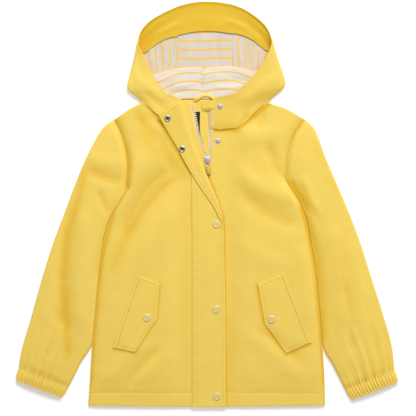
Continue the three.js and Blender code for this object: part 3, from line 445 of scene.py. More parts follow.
# The right front's copy paints shade and glow beside the closed flap's edge.
flap_shaded_coated = coated_finish("coated_cloth_right_flap_shade", line=FLAP_SHADE_LINE)
left_edge = joined((LEFT_ARMHOLE, ROWS_ARM), (LEFT_SIDE, ROWS_SIDE))
right_edge = joined((RIGHT_ARMHOLE, ROWS_ARM), (RIGHT_SIDE, ROWS_SIDE))
back_top = joined((LEFT_SHOULDER, 20), (BACK_NECKLINE, 60), (RIGHT_SHOULDER, 20))
back_hem = smooth_line([LEFT_SIDE[-1], RIGHT_SIDE[-1]], 100)
back_flat = filled(back_top, back_hem, left_edge, right_edge)[::2]
back = cloth("back_panel", lifted(back_flat, CLOTH), coated, CLOTH - 0.05)
sewn(back, ["back"])

# Fronts. Two panels of coated cloth, sewn to the back at shoulders and sides. They stand a little off it
# in soft swells and are flat along the zip. The hem is turned up and stitched through.
FRONT_LEVEL = CLOTH + SEAM_GAP + CLOTH  # top of a front where it lies flat
FRONT_SWELL = 3.2
FRONT_TROUGH = -2.4  # no fold goes deeper
FOLD_GAIN = 1.45
FLAT_BY_ZIP = 34
ZIP_LINE = 0.5
HEM_STITCH = -329
SEAM_ROLL = 9  # width over which a front rolls down to its side seam
SEAM_DIP, SEAM_DIP_WIDTH = 0.9, 2.2
LEFT_NECKLINE = [(-112, 179), (-88, 163), (-62, 149), (-23.5, 138)]
RIGHT_NECKLINE = [(5, 138), (38, 139), (64, 150), (88, 166), (106, 178)]
LEFT_CENTRE = [(-23.5, 138), (-13.5, 106.5), (-4.5, 77.5), (-3, 42.5), (-3, -150), (-3, -354.5)]
RIGHT_CENTRE = [(5, 138), (4.5, 77.5), (3.5, 7.5), (3, -150), (3, -354.5)]
# Soft ridges and troughs: from x, y, to x, y, half width, rise, and how far the middle bows to the left
FRONT_FOLDS = [
    (-100, 84, -158, -8, 23, 2.3, 8),
    (-46, 66, -148, -62, 19, -2.4, 14),
    (-42, -8, -124, -104, 25, 1.7, 10),
    (-130, 166, -50, 56, 11, -1.3, -4),
    (-158, 14, -176, -42, 6, -1.0, 0),
    (-140, 36, -168, 6, 7, 0.9, 0),
    (-152, -115, -162, -225, 24, 1.0, 4),
    (-100, -238, -186, -322, 13, 1.0, 6),
    (-78, -248, -150, -330, 10, -0.8, 5),
    (-58, -255, -134, -330, 14, 0.8, 5),
    (-60, -120, -64, -220, 18, 0.7, -3),
    (45, 62, 163, 8, 17, 1.7, 8),
    (56, 22, 164, -38, 15, -1.3, 8),
    (107, 104, 149, 34, 12, -1.6, 5),
    (62, 116, 122, 124, 16, 1.1, 4),
    (136, 40, 172, -6, 6, 0.9, 0),
    (163, -62, 174, -222, 14, 1.2, -4),
    (60, -70, 128, -104, 20, 0.8, 4),
    (56, -222, 160, -306, 17, 0.9, -8),
    (76, -214, 172, -284, 11, -0.8, -6),
    (44, -60, 46, -300, 7, -0.7, 0),
]


def step_up(start, end, value):
    t = np.clip((value - start) / (end - start), 0, 1)
    return t * t * (3 - 2 * t)


def front_height(x, y):
    """Top of the fronts, without their rolled seams."""
    from_zip = step_up(FLAT_BY_ZIP, 2.2 * FLAT_BY_ZIP, np.abs(x - ZIP_LINE))
    from_hem = step_up(-340, -290, y)
    from_neck = 1 - step_up(126, 156, y) * step_up(122, 92, np.abs(x + 3))
    loose = np.maximum(FRONT_TROUGH, FOLD_GAIN * fold_height(FRONT_FOLDS, x, y)) + FRONT_SWELL
    turned_up = 0.45 * step_up(HEM_STITCH + 1, HEM_STITCH - 3, y)
    groove = -0.5 * np.exp(-(((y - HEM_STITCH) / 1.6) ** 2)) * (1 + 0.5 * np.sin(x / 2.3))
    return FRONT_LEVEL + loose * from_zip * (0.25 + 0.75 * from_hem) * from_neck + turned_up + groove


# Deeper colour, painted shade with painted bounce glow, between two layers of yellow cloth, along seams and on
# the shaded sides of folds: from x, y, to x, y, half width, strength, bow
FRONT_GLOWS = [
    (-118, 156, -92, 98, 13, 0.62, 3),
    (-92, 98, -44, 58, 13, 0.66, -2),
    (-38, 52, -86, 26, 10, 0.55, 2),
    (-80, 30, -128, -34, 17, 0.50, 5),
    (-128, -34, -162, -108, 15, 0.55, 3),
    (-140, 100, -139, 30, 4, 0.65, 0),
    (-163, 146, -142, 92, 3.5, 0.6, 4),
    (-94, 167, -50, 90, 5, 1.3, 0),
    (-54, 94, 26, -32, 4.5, 1.2, -2),
    (1, 52, 14, 22, 3.2, 1.0, 0),
    (12, 25, 30.5, -28, 3.2, 1.0, 0),
    (36, -200, 44, -352, 12, 0.25, 0),
    (4, 129, 56, 129, 4, 1.2, -1),
    (50, 129, 72, 145, 4, 1.2, 0),
    (66, 140, 112, 178, 4, 1.2, 0),
    (-116, 182, -76, 150, 4.5, 1.1, 0),
    (-82, -136, -89, -204, 4, 0.9, 0),
    (-88, -200, -128, -262, 4, 0.9, 0),
    (-124, -261, -162, -253, 4, 0.9, 0),
    (87, -136, 100, -212, 4, 1.1, 0),
    (99, -206, 139, -264, 4, 1.1, 0),
    (136, -264, 180, -245, 4, 1.1, 0),
    (154, 128, 140, 62, 3.5, 0.7, -4),
    (112, 66, 140, 52, 10, 0.35, 0),
    (160, 4, 196, -150, 4.5, 1.1, -5),
    (192, -130, 207, -330, 4.5, 1.0, -1),
    (-160, -8, -196, -180, 4.5, 0.85, 5),
    (-193, -160, -206, -330, 4.5, 0.8, 1),
    (-170, -330, -60, -345, 14, 0.18, 0),
]
# The same painted shade and bounce glow on the sleeves, in their folds and beside the body.
SLEEVE_GLOWS = [
    (-214, 62, -243, -50, 9, 0.70, -3),
    (-243, -40, -252, -130, 11, 0.72, 0),
    (-252, -140, -242, -262, 11, 0.74, 0),
    (-156, 12, -194, -120, 6, 0.45, 6),
    (-200, 66, -150, 50, 12, 0.30, 4),
    (148, 36, 170, 2, 9, 1.0, 0),
    (166, 4, 190, -100, 7, 0.85, -6),
    (190, -90, 201, -236, 12, 0.95, 0),
    (186, 110, 232, 10, 9, 0.35, 0),
    (300, -150, 322, -250, 7, 0.40, 0),
    (238, -60, 250, -180, 14, 0.35, 0),
    (246, -288, 322, -268, 10, 0.25, 0),
    (-320, -262, -246, -296, 10, 0.25, 0),
]


def front(name, node, flat, outer_column, finish):
    away = np.linalg.norm(flat - flat[:, outer_column][:, None], axis=2)
    top = front_height(flat[..., 0], flat[..., 1])
    rolled = (top - FRONT_LEVEL) * np.exp(-((away / SEAM_ROLL) ** 2))
    level = top - rolled - SEAM_DIP * np.exp(-((away / SEAM_DIP_WIDTH) ** 2))
    piece = cloth(name, lifted(flat, level), finish, 1.3, glows=FRONT_GLOWS)
    sewn(piece, [node])
    return piece


left_top = joined((LEFT_SHOULDER, 22), (LEFT_NECKLINE, 48))
left_centre = smooth_line(LEFT_CENTRE, ROWS_ARM + ROWS_SIDE)
left_hem = smooth_line([LEFT_SIDE[-1], LEFT_CENTRE[-1]], ACROSS)
left_flat = filled(left_top, left_hem, left_edge, left_centre)
left_front = front("left_front_panel", "left_front", left_flat, 0, coated)
right_top = joined((RIGHT_NECKLINE, 48), (RIGHT_SHOULDER, 22))
right_centre = smooth_line(RIGHT_CENTRE, ROWS_ARM + ROWS_SIDE)
right_hem = smooth_line([RIGHT_CENTRE[-1], RIGHT_SIDE[-1]], ACROSS)
right_flat = filled(right_top, right_hem, right_centre, right_edge)
right_front = front("right_front_panel", "right_front", right_flat, -1, flap_shaded_coated)

# Sleeves. Each is one piece of coated cloth sewn into a tube, set into its armhole and pressed flat by
# lying down. The elastic of the cuff draws it into uneven gathers that fade out up the arm.
SLEEVE_HEIGHT = 9.0
SLEEVE_FOLD_GAIN = 1.2
BESIDE_BODY = 0.05  # between the sleeves and the sides
CLOSED_TO = (-256, -240)  # where the sleeves come away from the sides, down the coat
EDGE_SHARE = 0.62  # height of a flattened tube beside its edges, as a share of its height in the middle
ARMHOLE_SHARE = [1, 0.85, 0.4, 0.12, 0, 0, 0, 0, 0, 0]  # of the armhole's curve, down a sleeve
LEFT_SLEEVE = {
    "outer": [(-162.5, 149), (-180.5, 136), (-205, 95), (-228.5, 41), (-248, -11.5), (-269, -67.5),
              (-288, -127), (-308, -199), (-323, -249.5), (-330, -287)],
    "inner": [(-142.5, 22.5), (-156.5, -0.5), (-176, -34.5), (-188, -101), (-195, -167.5), (-200, -216.5),
              (-204.5, -251), (-220, -276), (-233, -302), (-243, -321)],
    "bulge": ARMHOLE_SHARE,
}
RIGHT_SLEEVE = {
    "outer": [(171.5, 149), (187, 133.5), (208, 81), (228, 34), (247.5, -11.5), (268.5, -67.5),
              (287.5, -127), (308, -192), (323, -246), (328.5, -291)],
    "inner": [(137, 45), (162, 9.5), (180.5, -38), (190.5, -101), (197.5, -167.5), (202, -216.5),
              (205, -254), (219.5, -280), (232.5, -305.5), (242, -325)],
    "bulge": ARMHOLE_SHARE,
}
SLEEVE_FOLDS = [
    (-228, 46, -242, -268, 13, -2.6, 18),
    (-206, 28, -216, -252, 15, 2.3, 10),
    (-262, -40, -288, -230, 12, 1.2, 4),
    (-214, 66, -150, 40, 11, -1.3, 5),
    (-222, 92, -158, 72, 14, 1.0, 4),
    (-190, 22, -172, -16, 7, -1.2, 0),
    (-264, -168, -284, -282, 8, -1.0, -4),
    (-306, -210, -322, -284, 5, -0.8, 0),
    (180, -40, 199, -238, 14, -2.6, -4),
    (214, -10, 238, -240, 15, 1.7, -9),
    (252, -40, 284, -236, 15, 1.1, 0),
    (144, 44, 180, -18, 6, -2.0, 4),
    (168, 52, 196, -16, 8, 1.5, 3),
    (236, -120, 256, -280, 9, -1.2, -3),
    (276, -150, 300, -284, 8, -0.8, -2),
    (230, 70, 250, -30, 14, 0.8, 3),
]
# Gathers above the cuff: place across the sleeve from 0 to 1, half width as a share, rise, reach up the arm
CUFF_GATHERS = [
    (0.08, 0.022, 0.9, 26), (0.17, 0.026, 1.5, 60), (0.26, 0.020, -0.9, 40), (0.34, 0.026, 1.2, 34),
    (0.43, 0.022, -1.1, 70), (0.52, 0.030, 1.6, 82), (0.61, 0.020, -1.0, 36), (0.69, 0.026, 1.3, 58),
    (0.78, 0.020, -0.8, 30), (0.87, 0.026, 1.2, 44), (0.95, 0.018, 0.7, 24),
]
SLEEVE_ROWS, SLEEVE_ACROSS, SLEEVE_TURN = 15, 84, 7
# Widths of the small gathers that the elastic makes, across each side of a cuff
GATHER_WIDTHS = [5.2, 4.1, 6.3, 4.6, 5.8, 3.9, 6.6, 5.0, 4.3, 6.1, 4.8, 5.7, 4.0, 6.4, 4.5, 5.5, 4.9]


def table_rows(table, between):
    """A table's rows with smooth rows put between them."""
    rows = {}
    for name, column in table.items():
        is_point = np.ndim(column) == 2
        line = spline(column if is_point else list(enumerate(column)), between)
        rows[name] = line if is_point else line[:, 1]
    return rows


def chord_shape(armhole):
    """How far an armhole stands off the line between its ends, as a function of the share along it."""
    line = smooth_line(armhole, 60)
    chord = line[-1] - line[0]
    length = np.linalg.norm(chord)
    off = (line - line[0]) @ np.array([-chord[1], chord[0]]) / length
    share = (line - line[0]) @ chord / length**2
    return lambda u: np.interp(u, share, off)


def ring(outer, inner, bulge, height, across, turn, shape=None):
    """Ring of a flattened tube: under side, inner edge, upper side and outer edge, closed on itself."""
    start, end = np.array(outer, float), np.array(inner, float)
    width = np.linalg.norm(end - start)
    along = (end - start) / width
    side = np.array([-along[1], along[0]])
    low = height(start[None], np.zeros(1))[0] / 2
    u = np.concatenate([
        np.linspace(low / width, 1 - low / width, across + 1),
        1 - low / width * (1 - np.sin(np.pi * np.arange(1, turn) / turn)),
        np.linspace(1 - low / width, low / width, across + 1),
        low / width * (1 - np.sin(np.pi * np.arange(1, turn) / turn)),
    ])
    flat = start + np.outer(u * width, along)
    if shape is not None:
        flat = flat + np.outer(bulge * shape(u), side)
    share = np.concatenate([
        np.zeros(across + 1), 0.5 - 0.5 * np.cos(np.pi * np.arange(1, turn) / turn),
        np.ones(across + 1), 0.5 + 0.5 * np.cos(np.pi * np.arange(1, turn) / turn),
    ])
    points = np.column_stack([flat, share * height(flat, u)])
    return np.vstack([points, points[:1]])


def gathered(u):
    """Small uneven gathers across a cuff, from -1 in a tuck to 1 on a swelling."""
    ends = np.concatenate([[0], np.cumsum(GATHER_WIDTHS)]) / sum(GATHER_WIDTHS)
    place = np.interp(u, ends, range(len(ends)))
    return 2 * np.abs(np.sin(np.pi * place)) ** 0.7 - 1


def sleeve_height(points, u, gone, to_cuff):
    """Height of a sleeve a way down from the armhole and up from the cuff, across it from 0 to 1."""
    rolled = 1 - 0.42 * math.exp(-((gone / 7) ** 2)) - 0.25 * math.exp(-((gone / 40) ** 2))
    drawn = 1 - 0.22 * math.exp(-((to_cuff / 9) ** 2))
    arch = np.sin(np.pi * np.clip(u, 0, 1))
    folds = SLEEVE_FOLD_GAIN * fold_height(SLEEVE_FOLDS, points[:, 0], points[:, 1])
    tucks = 0.9 * gathered(u) * math.exp(-to_cuff / 10)
    for at, width, rise, reach in CUFF_GATHERS:
        tucks = tucks + rise * np.exp(-(((u - at) / width) ** 2) - to_cuff / reach)
    fading = 1 - 0.6 * math.exp(-((gone / 12) ** 2))
    full = SLEEVE_HEIGHT * (EDGE_SHARE + (1 - EDGE_SHARE) * arch**0.7)
    return full * rolled * drawn + (folds + tucks) * arch**0.5 * fading


def sleeve(name, node, table, armhole, body_edge):
    rows = table_rows(table, SLEEVE_ROWS)
    away = np.sign(body_edge[-1, 0])
    beside = np.interp(-rows["inner"][:, 1], -body_edge[:, 1], body_edge[:, 0]) + away * BESIDE_BODY
    close = step_up(*CLOSED_TO, rows["inner"][:, 1])
    rows["inner"][:, 0] += (beside - rows["inner"][:, 0]) * close
    for side in ("outer", "inner"):
        rows[side][0] += (rows[side][0] - rows[side][1]) * 0.12
    shape = chord_shape(armhole)
    middle = (rows["outer"] + rows["inner"]) / 2
    travel = np.concatenate([[0], np.cumsum(np.linalg.norm(np.diff(middle, axis=0), axis=1))])
    rings = []
    for outer, inner, bulge, gone in zip(*rows.values(), travel):
        height = partial(sleeve_height, gone=gone, to_cuff=travel[-1] - gone)
        rings.append(ring(outer, inner, bulge, height, SLEEVE_ACROSS, SLEEVE_TURN, shape))
    piece = cloth(name, np.array(rings), coated, 1.3, closed=True, glows=SLEEVE_GLOWS)
    sewn(piece, [node])


sleeve("left_sleeve_tube", "sleeve_left", LEFT_SLEEVE, LEFT_ARMHOLE, left_edge)
sleeve("right_sleeve_tube", "sleeve_right", RIGHT_SLEEVE, RIGHT_ARMHOLE, right_edge)

# The turned in cloth of each armhole seam, seen as a deep yellow line in the groove, in the darker copy of the
# cloth: painted shade in the groove.
ALLOWANCE_AT = (-0.2, 3.4)  # from the armhole outwards
for side, edge_line, away in (("left", left_edge, -1), ("right", right_edge, 1)):
    line = edge_line[2 : ROWS_ARM - 2]
    edges = [line + (away * distance, 0) for distance in ALLOWANCE_AT]
    allowance = cloth(side + "_armhole_allowance", lifted(ruled(*edges, 4), 2.1), coated, 0.5, edge=0.1)
    allowance.data.materials[0] = shaded_inside_coated.material
    sewn(allowance, [])

# Hood sides. Two shaped panels of coated cloth, each lying on the table from the centre strip outwards,
# turning up in a soft fold and coming back over the top to the edge round the face.
HOOD_SEAM_Y = [294.5, 284, 272, 259.5, 247.5, 233.5, 217.5, 200, 186, 175.5, 166.5]
HOOD_HEIGHTS = {
    "turn": [1, 1, 1.5, 3, 5, 6, 6.5, 6.5, 5.5, 4.5, 4],
    "top": [3.4, 3.6, 4.4, 6.5, 10.5, 12.4, 12.2, 11.2, 9.8, 8.2, 6.4],
    "rim_up": [5.6, 6.2, 8, 11, 14.6, 15.4, 14, 12.2, 10.4, 7.8, 5.8],
}
LEFT_HOOD = {
    "seam": [(-50.5, y) for y in HOOD_SEAM_Y],
    "outer": [(-50.5, 335.5), (-71, 322.5), (-93.5, 308.5), (-111.5, 293), (-123, 273.5), (-129, 251),
              (-136, 223.5), (-139.5, 203.5), (-130.5, 193), (-121.5, 186.5), (-117.5, 183)],
    "mid": [(-50.5, 342.5), (-76, 329), (-99, 315), (-115, 298), (-123.5, 277.5), (-122, 258),
            (-117.5, 226.5), (-111, 201), (-100, 188), (-91, 174.5), (-86, 156.5)],
    "rim": [(-50.5, 347), (-80.5, 333), (-103, 318.5), (-116.5, 301.5), (-121, 280.5), (-112.5, 263.5),
            (-97, 230.5), (-80, 203.5), (-66.5, 191.5), (-44.5, 182), (-31, 133.5)],
    **HOOD_HEIGHTS,
}
RIGHT_HOOD = {
    "seam": [(44, y) for y in HOOD_SEAM_Y],
    "outer": [(44, 337), (60.5, 329.5), (86.5, 310.5), (102, 295), (116, 277), (125, 252.5),
              (134, 227), (137, 208), (126.5, 197), (115.5, 187.5), (111, 183)],
    "mid": [(44, 344), (64, 336.5), (93, 315), (106.5, 300), (117, 280.5), (118, 261.5),
            (113.5, 230), (106, 203.5), (89, 186), (75, 170.5), (68, 148.5)],
    "rim": [(44, 350), (67, 340.5), (98, 317.5), (109, 301.5), (113.5, 284), (108, 267),
            (88.5, 234), (64.5, 208), (44.5, 192.5), (10.5, 183), (4.5, 135)],
    **HOOD_HEIGHTS,
}
HOOD_FOLDS = [
    (-128, 230, -60, 176, 9, 0.9, 4),
    (-112, 196, -66, 160, 7, -0.8, 0),
    (-122, 262, -112, 214, 8, -0.7, 3),
    (124, 232, 52, 176, 9, 1.0, -4),
    (104, 196, 60, 152, 7, -0.9, 0),
    (118, 262, 108, 216, 8, -0.7, -3),
    (72, 156, 57, 144, 2.6, -2.4, 0),
]
HOOD_SEAM_DIP = [(16, 136, 56, 141, 9, -8, 0), (52, 138, 66, 146, 7, -5, 0)]  # the right neck seam sags
HOOD_BETWEEN = 6
HOOD_UNDER, HOOD_OVER = 16, 40


def hood_side(table):
    """Rows of a hood side from its seam, round the outer fold and over to the rim."""
    rows = table_rows(table, HOOD_BETWEEN)
    grid = []
    for seam, outer, mid, rim, turn, top, rim_up in zip(*rows.values()):
        away = (outer - seam) / np.linalg.norm(outer - seam)
        low = outer - away * turn * 1.2
        near = outer + (mid - outer) * 0.45
        under = ruled(np.array([[*seam, 0.0]]), np.array([[*low, 0.0]]), HOOD_UNDER)[0]
        over = [(*low, 0), (*outer, turn), (*near, top * 0.86), (*mid, top), (*rim, rim_up)]
        over = smooth_line(over, HOOD_OVER)
        grid.append(np.vstack([under, over[1:]]))
    grid = np.array(grid)
    x, y, level = np.moveaxis(grid, 2, 0)
    folds = fold_height(HOOD_FOLDS, x, y) * step_up(4, 9, level)
    dip = fold_height(HOOD_SEAM_DIP, x, y) * step_up(3, 5, level)
    return np.dstack([x, y + dip, np.maximum(0, level + folds)])


def hood_panel(name, node, grid, finish, away):
    piece = cloth(name, grid, finish, 1.3, up=(away, 0, 0.2))
    sewn(piece, [node])
    return piece


left_hood_grid = hood_side(LEFT_HOOD)
right_hood_grid = hood_side(RIGHT_HOOD)
left_hood = hood_panel("left_hood_side", "hood_left", left_hood_grid, lit_hood_coated, -1)
right_hood = hood_panel("right_hood_side", "hood_right", right_hood_grid, coated, 1)

# Hood centre strip. It runs from the back of the neck over the crown to the rim, where it lifts off the
# table to make the edge of the hood.
HOOD_CENTRE_RIM = [(-49.5, 347.5), (-26.5, 353), (-4.5, 355), (19, 354), (43, 350)]
HOOD_CENTRE_NECK = [(-49.5, 166), (-5.5, 161), (43, 166)]
HOOD_LIP = [(70, 0), (44, 0), (30, 0.3), (18, 1.2), (8, 3.2), (0, 5.6)]  # down from the rim, height
CENTRE_STEPS, CENTRE_ROWS = 18, 48

centre_ends = (smooth_line(line, CENTRE_STEPS) for line in (HOOD_CENTRE_RIM, HOOD_CENTRE_NECK))
centre_grid = []
for top, low in zip(*centre_ends):
    lip = [(top[0], top[1] - down, up) for down, up in HOOD_LIP]
    centre_grid.append(smooth_line([(*low, 0), *lip], CENTRE_ROWS))
centre_grid = np.array(centre_grid)
centre_grid[..., 2] = np.maximum(0, centre_grid[..., 2])
hood_centre = cloth("hood_centre_strip", centre_grid, coated, 1.3, up=(0, 0.3, -1))
sewn(hood_centre, ["hood_centre"])

# Hood facing. A deep band of the outer cloth follows the inside of the rim from corner to corner and is
# turned out with it along the edge.
FACING_WIDTH = {  # at places along the rim, left to right
    "place": [0, 3, 9, 15, 21, 27, 36, 45, 51, 57, 63, 69, 72],
    "width": [25, 33.5, 40.5, 45.5, 48.5, 52, 52.5, 52, 47, 41, 34.5, 31.5, 25],
}
FACING_FOLDS = [
    (-50, 322, 2, 325, 3.5, -0.9, 0), (-88, 300, -50, 318, 6, 0.9, 2), (-112, 286, -92, 284, 5, -0.9, 0),
    (30, 322, 76, 306, 6, 0.8, -2), (60, 326, 88, 306, 4, -0.7, 0), (-20, 340, 40, 342, 6, 0.6, 0),
    (86, 296, 104, 280, 5, 0.8, 0), (-10, 312, 36, 314, 5, 0.5, 0),
]
# Painted shade and bounce glow on the facing, strongest at its left lower corner.
FACING_GLOWS = [
    (-124, 250, -104, 296, 11, 1.0, 0), (-104, 296, -60, 330, 7, 0.35, 0), (96, 262, 118, 292, 7, 0.5, 0),
    (-40, 320, 10, 318, 6, 0.4, 2),
]
FACING_STEPS = 26
FACING_SOFT = 70  # rounds that fill its troughs
FACING_SIDE_ROWS = 28  # of each hood side that the facing runs along


def back_from_rim(row, width, steps):
    """Points of a hood row from a distance behind the rim up to the rim."""
    line = row[::-1]
    gone = np.concatenate([[0], np.cumsum(np.linalg.norm(np.diff(line, axis=0), axis=1))])
    wanted = np.linspace(width, 0, steps + 1)
    return np.stack([np.interp(wanted, gone, line[:, k]) for k in range(3)], axis=1)


rays = [*left_hood_grid[FACING_SIDE_ROWS - 1 :: -1], *centre_grid[1:-1], *right_hood_grid[:FACING_SIDE_ROWS]]
widths = np.interp(range(len(rays)), *FACING_WIDTH.values())
facing_grid = np.array([back_from_rim(ray, width, FACING_STEPS) for ray, width in zip(rays, widths)])
from_rim = np.linspace(1, 0, FACING_STEPS + 1)[None, :] * widths[:, None]
facing_folds = fold_height(FACING_FOLDS, facing_grid[..., 0], facing_grid[..., 1])
inward = 1.5 + 4.0 * step_up(0, 34, from_rim) + facing_folds
facing_grid = facing_grid - normals(facing_grid) * inward[..., None]
facing_grid[..., 2] = np.maximum(facing_grid[..., 2], softened(facing_grid[..., 2], FACING_SOFT))
# The facing takes the darker copy of the cloth: painted shade inside the hood.
facing = cloth("hood_facing_band", facing_grid, shaded_inside_coated, 0.7, glows=FACING_GLOWS)
sewn(facing, ["hood_facing"])

# Hood lining. Cream jersey with narrow yellow stripes, cut in three: a centre piece with its stripes
# across and two sides with them running down. It lies inside the hood, tucked under the facing.
CREAM = (0.67, 0.575, 0.475, 1)
CREAM_LIGHT = (0.76, 0.675, 0.575, 1)
CREAM_BRIGHT = (0.84, 0.775, 0.69, 1)
CREAM_SHADE = (0.62, 0.45, 0.27, 1)
STRIPE_YELLOW = (0.86, 0.56, 0.075, 1)
LINING_LEVEL = CLOTH + SEAM_GAP + 0.9
# Edges of each lining, from left to right
LEFT_LINING = [
    [(-86, 288), (-112, 274), (-120, 254), (-113, 223)],
    [(-50.5, 301), (-50.5, 278), (-50.5, 256), (-50.5, 231)],
]
RIGHT_LINING = [
    [(44.2, 304), (44.2, 280), (44.2, 256), (44.2, 232)],
    [(84, 292), (109, 275), (117, 254), (108, 223)],
]
CENTRE_LINING = [
    [(-50.4, 306), (-50.4, 270), (-50.4, 233)],
    [(44.1, 308), (44.1, 270), (44.1, 235)],
]
CENTRE_STRIPE_TOP, CENTRE_STRIPE_PITCH = 301.5, 15.4
SIDE_STRIPE_TOP_PITCH, SIDE_STRIPE_LOW_PITCH = 13.2, 10.8
LINING_FOLDS = [
    (-98, 286, -92, 240, 4, 0.8, 2), (-84, 284, -80, 238, 3.5, -0.7, -2), (-68, 292, -70, 240, 4, 0.7, 1),
    (-30, 292, -28, 246, 5, 0.6, 2), (-6, 300, -10, 244, 6, 0.8, -2), (20, 296, 24, 246, 5, -0.7, 2),
    (58, 292, 60, 240, 4, 0.7, 2), (76, 286, 72, 240, 3.5, -0.7, 2), (94, 280, 86, 238, 4, 0.9, -2),
]


def jersey_finish(name, cream, light):
    finish = Finish(name, Specular_IOR_Level=0.22, Sheen_Weight=0.25, Sheen_Roughness=0.6, Roughness=0.88)
    across, along = finish.uv()
    stripe = 1 - finish.attribute("stripe").folded(0.5).beyond(0.115, 0.035)
    cloudy = finish.noise(26.0, 3.0)
    plain = finish.blend(cloudy * 0.9 + 0.4, cream, light)
    knit = (across * (2 * math.pi / 0.0011)).wave().size() * (along * (2 * math.pi / 0.0014)).wave().size()
    striped = finish.blend(stripe * (0.93 + finish.noise(300.0) * 0.12), plain, STRIPE_YELLOW)
    shaded = finish.attribute("sunk").beyond(0.3, 0.5) * 0.3
    finish.set(Base_Color=finish.blend(shaded, striped, CREAM_SHADE))
    finish.relief(knit * 0.10 + finish.noise(70.0, 2.0) * 0.55, 0.8 * MM)
    return finish


# Two copies of the same jersey: the darker for the pieces inside the hood, painted shade, and the lighter for
# the neck piece, painted light.
jersey = jersey_finish("striped_jersey", CREAM, CREAM_LIGHT)
lit_neck_jersey = jersey_finish("striped_jersey_neck_lit", CREAM_LIGHT, CREAM_BRIGHT)


def lining(name, node, flat, stripe):
    x, y = flat[..., 0], flat[..., 1]
    level = LINING_LEVEL + fold_height(LINING_FOLDS, x, y) + 0.5
    piece = cloth(name, lifted(flat, level), jersey, 0.7, edge=0.15, marks={"stripe": stripe(x, y)})
    sewn(piece, [node])


def side_stripes(seam, direction):
    """Stripes down a side of the lining, closing up towards the neck and a little wavy."""
    def number(x, y):
        pitch = SIDE_STRIPE_LOW_PITCH + (SIDE_STRIPE_TOP_PITCH - SIDE_STRIPE_LOW_PITCH) * step_up(230, 292, y)
        return direction * (x - seam) / pitch + 0.10 * np.sin(y / 9 + x / 23)
    return number


def cross_stripes(x, y):
    return (CENTRE_STRIPE_TOP - y) / CENTRE_STRIPE_PITCH + 0.05 * np.sin(x / 14)


left_sheet = spanned(LEFT_LINING, 40, 36)
right_sheet = spanned(RIGHT_LINING, 40, 36)
centre_sheet = spanned(CENTRE_LINING, 36, 46)
lining("left_lining_panel", "lining_left", left_sheet, side_stripes(-54, -1))
lining("right_lining_panel", "lining_right", right_sheet, side_stripes(55.5, 1))
lining("centre_lining_panel", "lining_centre", centre_sheet, cross_stripes)

# Neck piece of the lining. A fourth cut of the jersey lies over the foot of the other three, its striped
# top edge turned in.
NECK_LINING_TOP = [
    (-112, 222), (-94, 229), (-65, 237), (-13.5, 241.5), (-7, 239.2), (4, 241.5), (42.5, 242.5), (87, 232.5),
    (106, 222),
]
NECK_LINING_LOW = [(-92, 180), (-72, 181), (-51, 183.5), (-5.5, 184.5), (40, 183.5), (66.5, 181), (86, 180)]
NECK_STRIPES = {"below_top": [-15, 0.8, 11.5, 26.6, 41.7, 56.8, 72], "number": [-1, 0, 1, 2, 3, 4, 5]}
NECK_FOLDS = [
    (-86, 214, -50, 226, 4, 0.9, 0), (-60, 206, -20, 214, 5, 0.9, 2), (-24, 222, 30, 226, 6, 0.8, -2),
    (10, 206, 66, 208, 5, 0.9, 2), (40, 222, 82, 214, 5, -0.8, 0), (-70, 196, -30, 200, 4, -0.8, 0),
    (-6, 240, -8, 200, 5, -0.7, 2), (56, 200, 20, 192, 5, 0.7, 0), (-40, 238, -44, 206, 6, 0.5, 0),
]
neck_top = smooth_line(NECK_LINING_TOP, 90)
neck_flat = ruled(smooth_line(NECK_LINING_LOW, 90), neck_top, 34)
neck_x, neck_y = neck_flat[..., 0], neck_flat[..., 1]
below_top = np.interp(neck_x, neck_top[:, 0], neck_top[:, 1]) - neck_y
turned_in = 0.8 * np.exp(-((below_top / 1.8) ** 2))
neck_level = LINING_LEVEL + 1.9 + fold_height(NECK_FOLDS, neck_x, neck_y) - turned_in
neck_stripe = np.interp(below_top, *NECK_STRIPES.values()) - 0.05 * np.sin((neck_x + 20) / 13)
drawn_up = 0.42 * step_up(-45, -92, neck_x) + 0.16 * step_up(50, 92, neck_x)
neck_stripe = neck_stripe - step_up(2, 9, below_top) * drawn_up
neck_grid = lifted(neck_flat, neck_level)
neck_lining = cloth("neck_lining_panel", neck_grid, lit_neck_jersey, 0.7, marks={"stripe": neck_stripe})
sewn(neck_lining, ["lining_neck"])

# Back neck strip, hanger loop and label. A straight strip of coated cloth covers the neck seam; the loop
# is a narrow folded strip caught in it, and the plain black label hangs below.
LABEL_BLACK = (0.010, 0.010, 0.012, 1)
LABEL_WORN = (0.022, 0.021, 0.024, 1)
label_finish = Finish("black_label", Roughness=0.75, Specular_IOR_Level=0.25)
label_ribs = (label_finish.uv()[1] * (2 * math.pi / 0.0007)).wave() * 0.5
label_finish.mottled(500.0, LABEL_BLACK, LABEL_WORN)
label_finish.relief(label_ribs + label_finish.noise(900.0), 0.15 * MM)

STRIP_TOP = [(-76, 183.5), (-5.5, 183.5), (66, 183.5)]
STRIP_LOW = [(-72, 166), (-5.5, 161.5), (61, 166)]
strip_flat = spanned([STRIP_LOW, STRIP_TOP], 60, 10)
neck_strip = cloth("back_neck_strip", lifted(strip_flat, 3.7), coated, 0.6)
sewn(neck_strip, ["neck_strip"])

LABEL_EDGES = [(-25, 161.5), (-20, 122)], [(3.5, 161.5), (3.5, 122)]
label_flat = spanned(LABEL_EDGES, 24, 18)
label_level = 2.75 + 0.1 * np.sin(label_flat[..., 1] / 5)
label = cloth("black_neck_label", lifted(label_flat, label_level), label_finish, 0.4, edge=0.1)
sewn(label, ["neck_label"])

